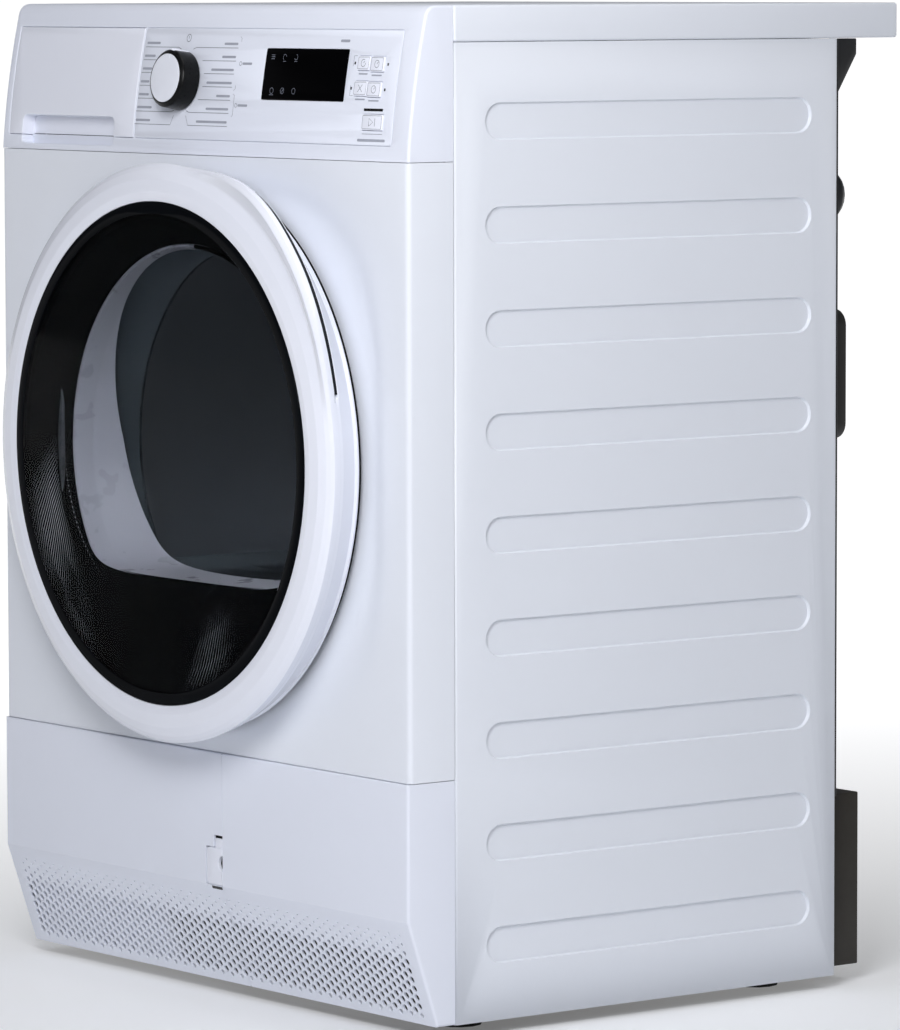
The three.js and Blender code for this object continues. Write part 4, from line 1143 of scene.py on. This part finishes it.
def ring_section(angle):
    angle = (angle + 90) % 360 - 90
    share, slot = between(angle, LIP), between(angle, SLOT)
    gap, solid = grown(RING_GAP, share), grown(RING_SOLID, share)
    behind = [tuple(g * slot + s * (1 - slot) for g, s in zip(one, two)) for one, two in zip(gap, solid)]
    return rounded(grown(RING_CORNERS, share) + behind + grown(RING_BACK, share), steps=5)


def slot_mouth(angle):
    """A dark strip across the mouth of the gap behind the lip, a little below the surface: painted shade
    standing for the gap's shadow.
    """
    first, *_, last = grown(RING_GAP, between(angle, LIP))
    return (first[0] - 1.1, first[1] + 0.5), (last[0] - 0.8, last[1] - 0.2)


def door_ring():
    moulding = build("door_moulding", turned(None, 0, PORT_Z, 360, shape=ring_section))
    carve(moulding, (-250, -205, -35.2, 0, PORT_Z - 20, PORT_Z + 20))
    stand_in(moulding, "door_ring")
    # The dark strip across the gap behind the lip is painted shade, standing for the gap's shadow.
    first, last, steps = SLOT["low"][1], SLOT["high"][0], 80
    angles = [first + (last - first) * i / steps for i in range(steps + 1)]
    verts = [(r * math.cos(math.radians(a)), d, PORT_Z + r * math.sin(math.radians(a)))
             for a in angles for r, d in slot_mouth(a)]
    beside(build("lip_slot_shade", (verts, quads(steps + 1, 2, closed=False))), "door_ring", "painted_slot_shade")


def soften(z):
    """Presses heights near and below the window's flat lower side onto it, with a soft corner."""
    start = GLASS["flat"] + GLASS["blend"]
    return z if z >= start else start - GLASS["blend"] * (1 - math.exp((z - start) / GLASS["blend"]))


def window_loop(steps):
    """The window's outline about the port's centre: a circle with a flat lower side."""
    return [(x, soften(z)) for x, z in ring(GLASS["window"], steps=steps)]


def door_glass():
    r, rim, face, pane = (GLASS[k] for k in ("r", "rim", "face", "pane"))
    band = plate(ring(r, 0, PORT_Z, 192), [ring(rim, 0, PORT_Z, 144)], plane(face), edge=0.8, wall=pane,
                 hole_edge=0.2, hole_wall=pane)
    beside(build("door_print", band), "door_glass", "glass_print")
    clear = ring(rim - 0.3, 0, PORT_Z, 144)
    front = plate(clear, place=plane(face + 0.15), edge=0.2, wall=pane - 0.15)
    rear = plate(clear, place=plane(face + pane), edge=0, wall=0)
    stand_in(build("door_pane", front, rear), "door_glass")
    door_funnel(face + pane + 0.02)
    door_pattern(face - 0.06)


def door_funnel(front):
    """The black wall seen through the pane, running in from its rim to the bowl's rim."""
    steps = 144
    outer, inner = ring(GLASS["rim"] + 0.4, steps=steps), window_loop(steps)
    rows = [(0.0, front), (0.17, front + 2), (0.36, front + 14), (0.65, front + 26), (0.9, -9.5),
            (1.0, -8.2), (1.012, -7.0)]
    verts = [(ax + (bx - ax) * share, depth, PORT_Z + az + (bz - az) * share)
             for share, depth in rows for (ax, az), (bx, bz) in zip(outer, inner)]
    funnel = (verts, quads(len(rows), steps))
    beside(build("door_funnel", funnel), "door_inner_frame", "funnel_black")


def light_bar(front, mirror, angle, width):
    """One slanting bar, thinner towards its ends, at an angle about the port's centre."""
    verts = []
    for reach, size in BARS["ends"]:
        x, z = polar(reach, math.radians(angle + (reach - 168) * BARS["slant"]))
        half = width * size / 2
        verts += [(-mirror * x, front, PORT_Z + z + half), (-mirror * x, front, PORT_Z + z - half)]
    return verts, quads(len(BARS["ends"]), 2, closed=False)


def dot(front, mirror, angle, size):
    x, z = polar(DOTS["reach"], math.radians(angle))
    return [(px, front, pz) for px, pz in ring(size, -mirror * x, PORT_Z + z, 8)], [list(range(8))]


def door_pattern(front):
    """Slanting light bars and a row of dots printed low on the pane, at both sides."""
    bars, dots = [], []
    for mirror, first, count, bold in BARS["groups"]:
        for i in range(count):
            width = 0.1 + 1.5 * bold * math.sin(math.pi * (i + 0.5) / count) ** 1.5
            bars.append(light_bar(front, mirror, first + BARS["step"] * i, width))
        dot_count = DOTS["share"] * count
        for i in range(round(dot_count)):
            size = 0.15 + 0.5 * math.sqrt(bold) * math.sin(math.pi * i / dot_count)
            dots.append(dot(front, mirror, first - DOTS["before"] + DOTS["step"] * i, size))
    beside(build("door_stripes", *bars, *dots), "door_glass", "glass_stripe")


def door_bowl():
    """Thick glass bowl: a body of revolution with a flat cut across its lower side."""
    profile = rounded(BOWL["outer"] + BOWL["inner"], steps=7)
    verts, faces = turned(profile, 0, 0, 160)
    milky, clear = split_bowl([(x, d, soften(z) + PORT_Z) for x, d, z in verts], faces)
    stand_in(build("bowl_clear", clear), "door_bowl")
    # The milky band's look paints shade, darker towards its top.
    beside(build("bowl_milky", milky), "door_bowl", "milky_bowl")


def split_bowl(verts, faces):
    """Cuts the bowl along the slanting limit of its milky band, and gives both parts."""
    work = bmesh.new()
    made = [work.verts.new(v) for v in verts]
    for face in faces:
        if len({verts[i] for i in face}) > 2:
            work.faces.new([made[i] for i in face])
    start = (0, BOWL["limit"], PORT_Z)
    planes = [(start, (0, 0, 1)), (start, (0, 1, BOWL["above"])), (start, (0, 1, BOWL["below"])),
              ((BOWL["end"], 0, PORT_Z), (1, 0, 0))]
    for place, normal in planes:
        geometry = work.verts[:] + work.edges[:] + work.faces[:]
        bmesh.ops.bisect_plane(work, geom=geometry, plane_co=place, plane_no=normal)
    work.verts.index_update()
    places = [tuple(v.co) for v in work.verts]
    parts = ([], [])
    for face in work.faces:
        x, depth, z = face.calc_center_median()
        upper = z > PORT_Z
        fall = BOWL["above"] if upper else BOWL["below"]
        clear = depth > BOWL["limit"] - fall * (z - PORT_Z) or (upper and x > BOWL["end"])
        parts[clear].append([v.index for v in face.verts])
    work.free()
    return (places, parts[0]), (places, parts[1])


def door_inside():
    face = rounded([(196, -7, 2), (202, -12, 1.5), (226, -12, 2), (231, -9, 1.5), (231, -4.5, 1.5),
                    (190, -4.5, 2), (182, -4.9, 1), (178.2, -5.4, 0.5), (178.2, -6.6, 0.3), (186, -6.8, 1)])
    frame_ring = build("door_back_frame", turned(face, 0, PORT_Z, 160), sharp=35)
    carve(frame_ring, (-240, -199.5, -13, 0, PORT_Z - 20, PORT_Z + 20))
    stand_in(frame_ring, "door_inner_frame")
    arc = [polar(180, math.radians(219.5 + 101 * i / 24)) for i in range(25)]
    sill = plate([(x, z + PORT_Z) for x, z in arc], place=plane(-6.6), edge=0.3, wall=1.6)
    low, high = PORT_Z - 8, PORT_Z + 8
    hook = block(215, 219.5, -6, 14, low, high) + block(219, 222.5, 8, 14, low, high)
    beside(build("door_sill_and_catch", sill, *hook), "door_inner_frame", "black_plastic")


# ---- Port and drum ------------------------------------------------------------------------
def port():
    low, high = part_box("port_ring")
    front, rear = (low.y - FRONT) / MM, (high.y - FRONT) / MM
    collar = rounded([(176, front + 1, 1.5), (180, front, 1.5), (199.5, front, 0.8),
                      (199.5, front + 2, 0.8), (178.5, front + 2, 1.5), (178.5, rear, 0.5),
                      (176, rear, 0.5)])
    stand_in(build("port_collar", turned(collar, 0, PORT_Z, 144)), "port_ring")
    back = (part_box("port_seal")[1].y - FRONT) / MM
    seal = rounded([(181, -2.4, 1.4), (184, -4.1, 1.6), (188, -3.6, 1.5), (189.5, -1.2, 1.0),
                    (187, 0.6, 1.0), (192, back - 1.6, 1.2), (192, back, 0.4), (180, back, 0.4),
                    (180, 0.4, 1.5)])
    stand_in(build("port_gasket", turned(seal, 0, PORT_Z, 144)), "port_seal")


def drum():
    r, wall, front, rear, mouth, shaft = (
        DRUM[k] for k in ("r", "wall", "front", "rear", "mouth", "shaft"))
    shell = rounded([(mouth, front, 1.0), (r - 8, front + 10, 8), (r, front + 18, 8), (r, rear, 0.3),
                     (r - wall, rear, 0.3), (r - wall, front + 18.5, 8), (r - 9, front + 11.3, 8),
                     (mouth, front + 1.2, 0.3)], steps=5)
    stand_in(build("drum_barrel", turned(shell, 0, PORT_Z, 160)), "drum_shell")
    holes = []
    for row, (radius, count) in enumerate(DRUM_HOLES["rows"]):
        for i in range(count):
            x, z = polar(radius, 2 * math.pi * (i + 0.5 * (row % 2)) / count)
            holes.append(ring(DRUM_HOLES["radius"], x, PORT_Z + z, 10))
    face = rear - 8
    back = plate(ring(r - wall - 0.4, 0, PORT_Z, 120), holes, plane(face), edge=1.2, wall=8.0,
                 hole_edge=0.0, hole_wall=1.4)
    hub = rounded([(0, face - 3, 0), (36, face - 3, 4), (44, face, 4), (44, face + 1.4, 0),
                   (12, face + 1.4, 0), (12, rear + 10, 1), (shaft, rear + 10, 0), (shaft, rear + 60, 1),
                   (0, rear + 60, 0)])
    stand_in(build("drum_rear_wall", back, turned(hub, 0, PORT_Z, 72)), "drum_back")
    for i in (1, 2, 3):
        refine("drum_lifter_%d" % i, 3.0, 3)


def lint_filter():
    refine("lint_filter")
    top, low = PORT_Z - 143.2, PORT_Z - 144.0
    ribs = []
    for i in range(23):
        x = -88 + 8 * i
        corners = [(x, 14.5), (x + 0.8, 14.5), (x + 0.8, 51.5), (x, 51.5)]
        ribs.append(([(a, b, top) for a, b in corners], [(0, 1, 2, 3)]))
    gauze = [(a, b, low) for a, b in ((-92, 14.2), (92, 14.2), (92, 51.8), (-92, 51.8))]
    beside(build("filter_ribs", *ribs), "lint_filter", "grey_plastic")
    beside(build("filter_gauze", (gauze, [(0, 1, 2, 3)])), "lint_filter", "filter_gauze")


# ---- Rear ---------------------------------------------------------------------------------
def screw(x, depth, z, radius=3.6):
    """A pan-head screw facing backwards."""
    profile = [(0, depth + 2.4), (radius * 0.45, depth + 2.4), (radius * 0.5, depth + 1.7),
               (radius * 0.8, depth + 2.1), (radius, depth + 0.9), (radius, depth), (0, depth)]
    return turned(profile, x, z, 20)


def cover_beads():
    """Pressed beads and the raised bearing boss on the cover behind the drum."""
    face = (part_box("rear_drum_cover")[1].y - FRONT) / MM
    bead = [(-6, -0.5), (-4, 0.8), (-1.5, 2.2), (1.5, 2.2), (4, 0.8), (6, -0.5)]
    boss = [(0, 3.0), (12, 3.0), (13, 6.0), (34, 6.0), (38, 4.5), (42, -0.5)]
    parts = []
    for radius, profile in ((212, bead), (160, bead), (104, bead), (0, boss)):
        raised = [(radius + out, face + rise) for out, rise in profile]
        parts.append(turned(raised, 0, PORT_Z, 120 if radius else 96, closed=False))
    for i in range(3):
        x, z = polar(68, math.radians(90 + 120 * i))
        parts.append(screw(x, face, PORT_Z + z, 4.5))
    beside(build("cover_beads", *parts), "rear_drum_cover", "cover_grey")


def rear_details():
    refine("rear_panel", 0.6)
    refine("rear_drum_cover", 1.4)
    cover_beads()
    refine("rear_air_box", 2.0, 3)
    refine("cable_gland", 1.0)
    refine("hose_holder", 2.0, 3, "holder_dark")
    refine("worktop", 2.4, 4)
    spots = [(x, z) for x in (-288, 288) for z in (190, 340, 490, 640, 780)]
    spots += [(x, 812) for x in (-180, -60, 60, 180)]
    around = [polar(248.5, math.radians(18 + 36 * i)) for i in range(10)]
    spots += [(x, PORT_Z + z) for x, z in around]
    beside(build("rear_screws", *[screw(x, REAR + 2.0, z) for x, z in spots]), "rear_panel", "zinc_steel")
    outlines = [stadium(-236, 236, 36 + 13.5 * i, 3.0, 8) for i in range(9)]
    ribs = [plate(outline, place=plane(503.05), wall=1.4) for outline in outlines]
    beside(build("air_box_ribs", *ribs), "rear_air_box", "brown_plastic")


# ---- Inside -------------------------------------------------------------------------------
INNER_EDGES = {  # how far each inner piece's edges are rounded
    "hinge_bracket": 0.6, "door_hinge_leaf": 0.6, "door_lock": 1.2, "front_bulkhead": 0.5,
    "exchanger_housing": 1.0, "heat_exchanger": 0.5, "exchanger_lever_left": 1.2,
    "exchanger_lever_right": 1.2, "water_tank": 1.2, "tank_lid": 0.8, "control_board": 0.6,
    "heater": 0.6, "motor_casing": 2.5, "motor_shaft": 0.5, "process_fan_wheel": 0.5,
    "cooling_fan_wheel": 0.5, "cooling_fan_housing": 1.0, "idler_pulley": 1.0,
    "support_roller_left": 1.5, "support_roller_right": 1.5, "drive_belt": 0.4, "base_tray": 1.2,
    "condensate_pump": 1.5, "foot_front_left": 1.0, "foot_front_right": 1.0, "foot_rear_left": 1.0,
    "foot_rear_right": 1.0,
}


def inside():
    for node, edge in INNER_EDGES.items():
        refine(node, edge)


# ---- Stage --------------------------------------------------------------------------------
def camera():
    yaw, pitch, roll = (math.radians(CAMERA[k]) for k in ("yaw", "pitch", "roll"))
    ahead = Vector((-math.sin(yaw) * math.cos(pitch), math.cos(yaw) * math.cos(pitch), -math.sin(pitch)))
    right = Vector((math.cos(yaw), math.sin(yaw), 0))
    up = right.cross(ahead)
    across = right * math.cos(roll) + up * math.sin(roll)
    over = up * math.cos(roll) - right * math.sin(roll)
    data = bpy.data.cameras.new("camera")
    data.lens = CAMERA["lens"]
    data.sensor_width = 36.0
    data.clip_end = 2000.0
    thing = bpy.data.objects.new("camera", data)
    bpy.context.scene.collection.objects.link(thing)
    turn = Matrix((across, over, -ahead)).transposed().to_4x4()
    thing.matrix_world = Matrix.Translation(CAMERA["place"]) @ turn
    bpy.context.scene.camera = thing


def area_light(name, place, target, size, power, rgb):
    data = bpy.data.lights.new(name, "AREA")
    data.shape = "RECTANGLE"
    data.size = data.size_y = size
    data.energy = power
    data.color = rgb
    thing = bpy.data.objects.new(name, data)
    bpy.context.scene.collection.objects.link(thing)
    thing.location = place
    thing.rotation_euler = (Vector(target) - Vector(place)).to_track_quat("-Z", "Y").to_euler()


def studio():
    scene = bpy.context.scene
    scene.view_settings.view_transform = "Standard"
    world = bpy.data.worlds.new("studio")
    world.use_nodes = True
    world.node_tree.nodes["Background"].inputs["Color"].default_value = (0.93, 0.94, 1.0, 1)
    world.node_tree.nodes["Background"].inputs["Strength"].default_value = 0.16
    scene.world = world
    for name, (place, target, size, power, rgb) in LIGHTS.items():
        area_light(name, place, target, size, power, rgb)
    floor(scene)


def floor(scene):
    """A pale floor that glows more the further it is from the camera, like a lit backdrop."""
    mesh = bpy.data.meshes.new("floor")
    reach = 300.0
    corners = [(-reach, -reach, 0), (reach, -reach, 0), (reach, reach, 0), (-reach, reach, 0)]
    mesh.from_pydata(corners, [], [(0, 1, 2, 3)])
    thing = bpy.data.objects.new("floor", mesh)
    scene.collection.objects.link(thing)
    pale = Look("pale_floor", (226, 228, 231), 0.8, drift=(0.6, 0.01), grain=(60.0, 0.05, 0.2),
                Emission_Color=(1, 1, 1, 1))
    far = pale.node("VectorMath")
    far.operation = "DOT_PRODUCT"
    yaw = math.radians(CAMERA["yaw"])
    far.inputs[1].default_value = (-math.sin(yaw), math.cos(yaw), 0)
    pale.links.new(pale.place, far.inputs[0])
    glow = pale.node("MapRange", From_Min=-0.45, From_Max=2.2, To_Min=0.1, To_Max=0.95)
    pale.links.new(far.outputs["Value"], glow.inputs["Value"])
    pale.links.new(glow.outputs["Result"], pale.shader.inputs["Emission Strength"])
    mesh.materials.append(pale.material)


camera()
studio()
side_panel(1)
side_panel(-1)
front_sheet()
fascia()
inlay()
legend()
display()
buttons()
knob()
drawer()
kick_panels()
door_ring()
door_glass()
door_bowl()
door_inside()
port()
drum()
lint_filter()
rear_details()
inside()
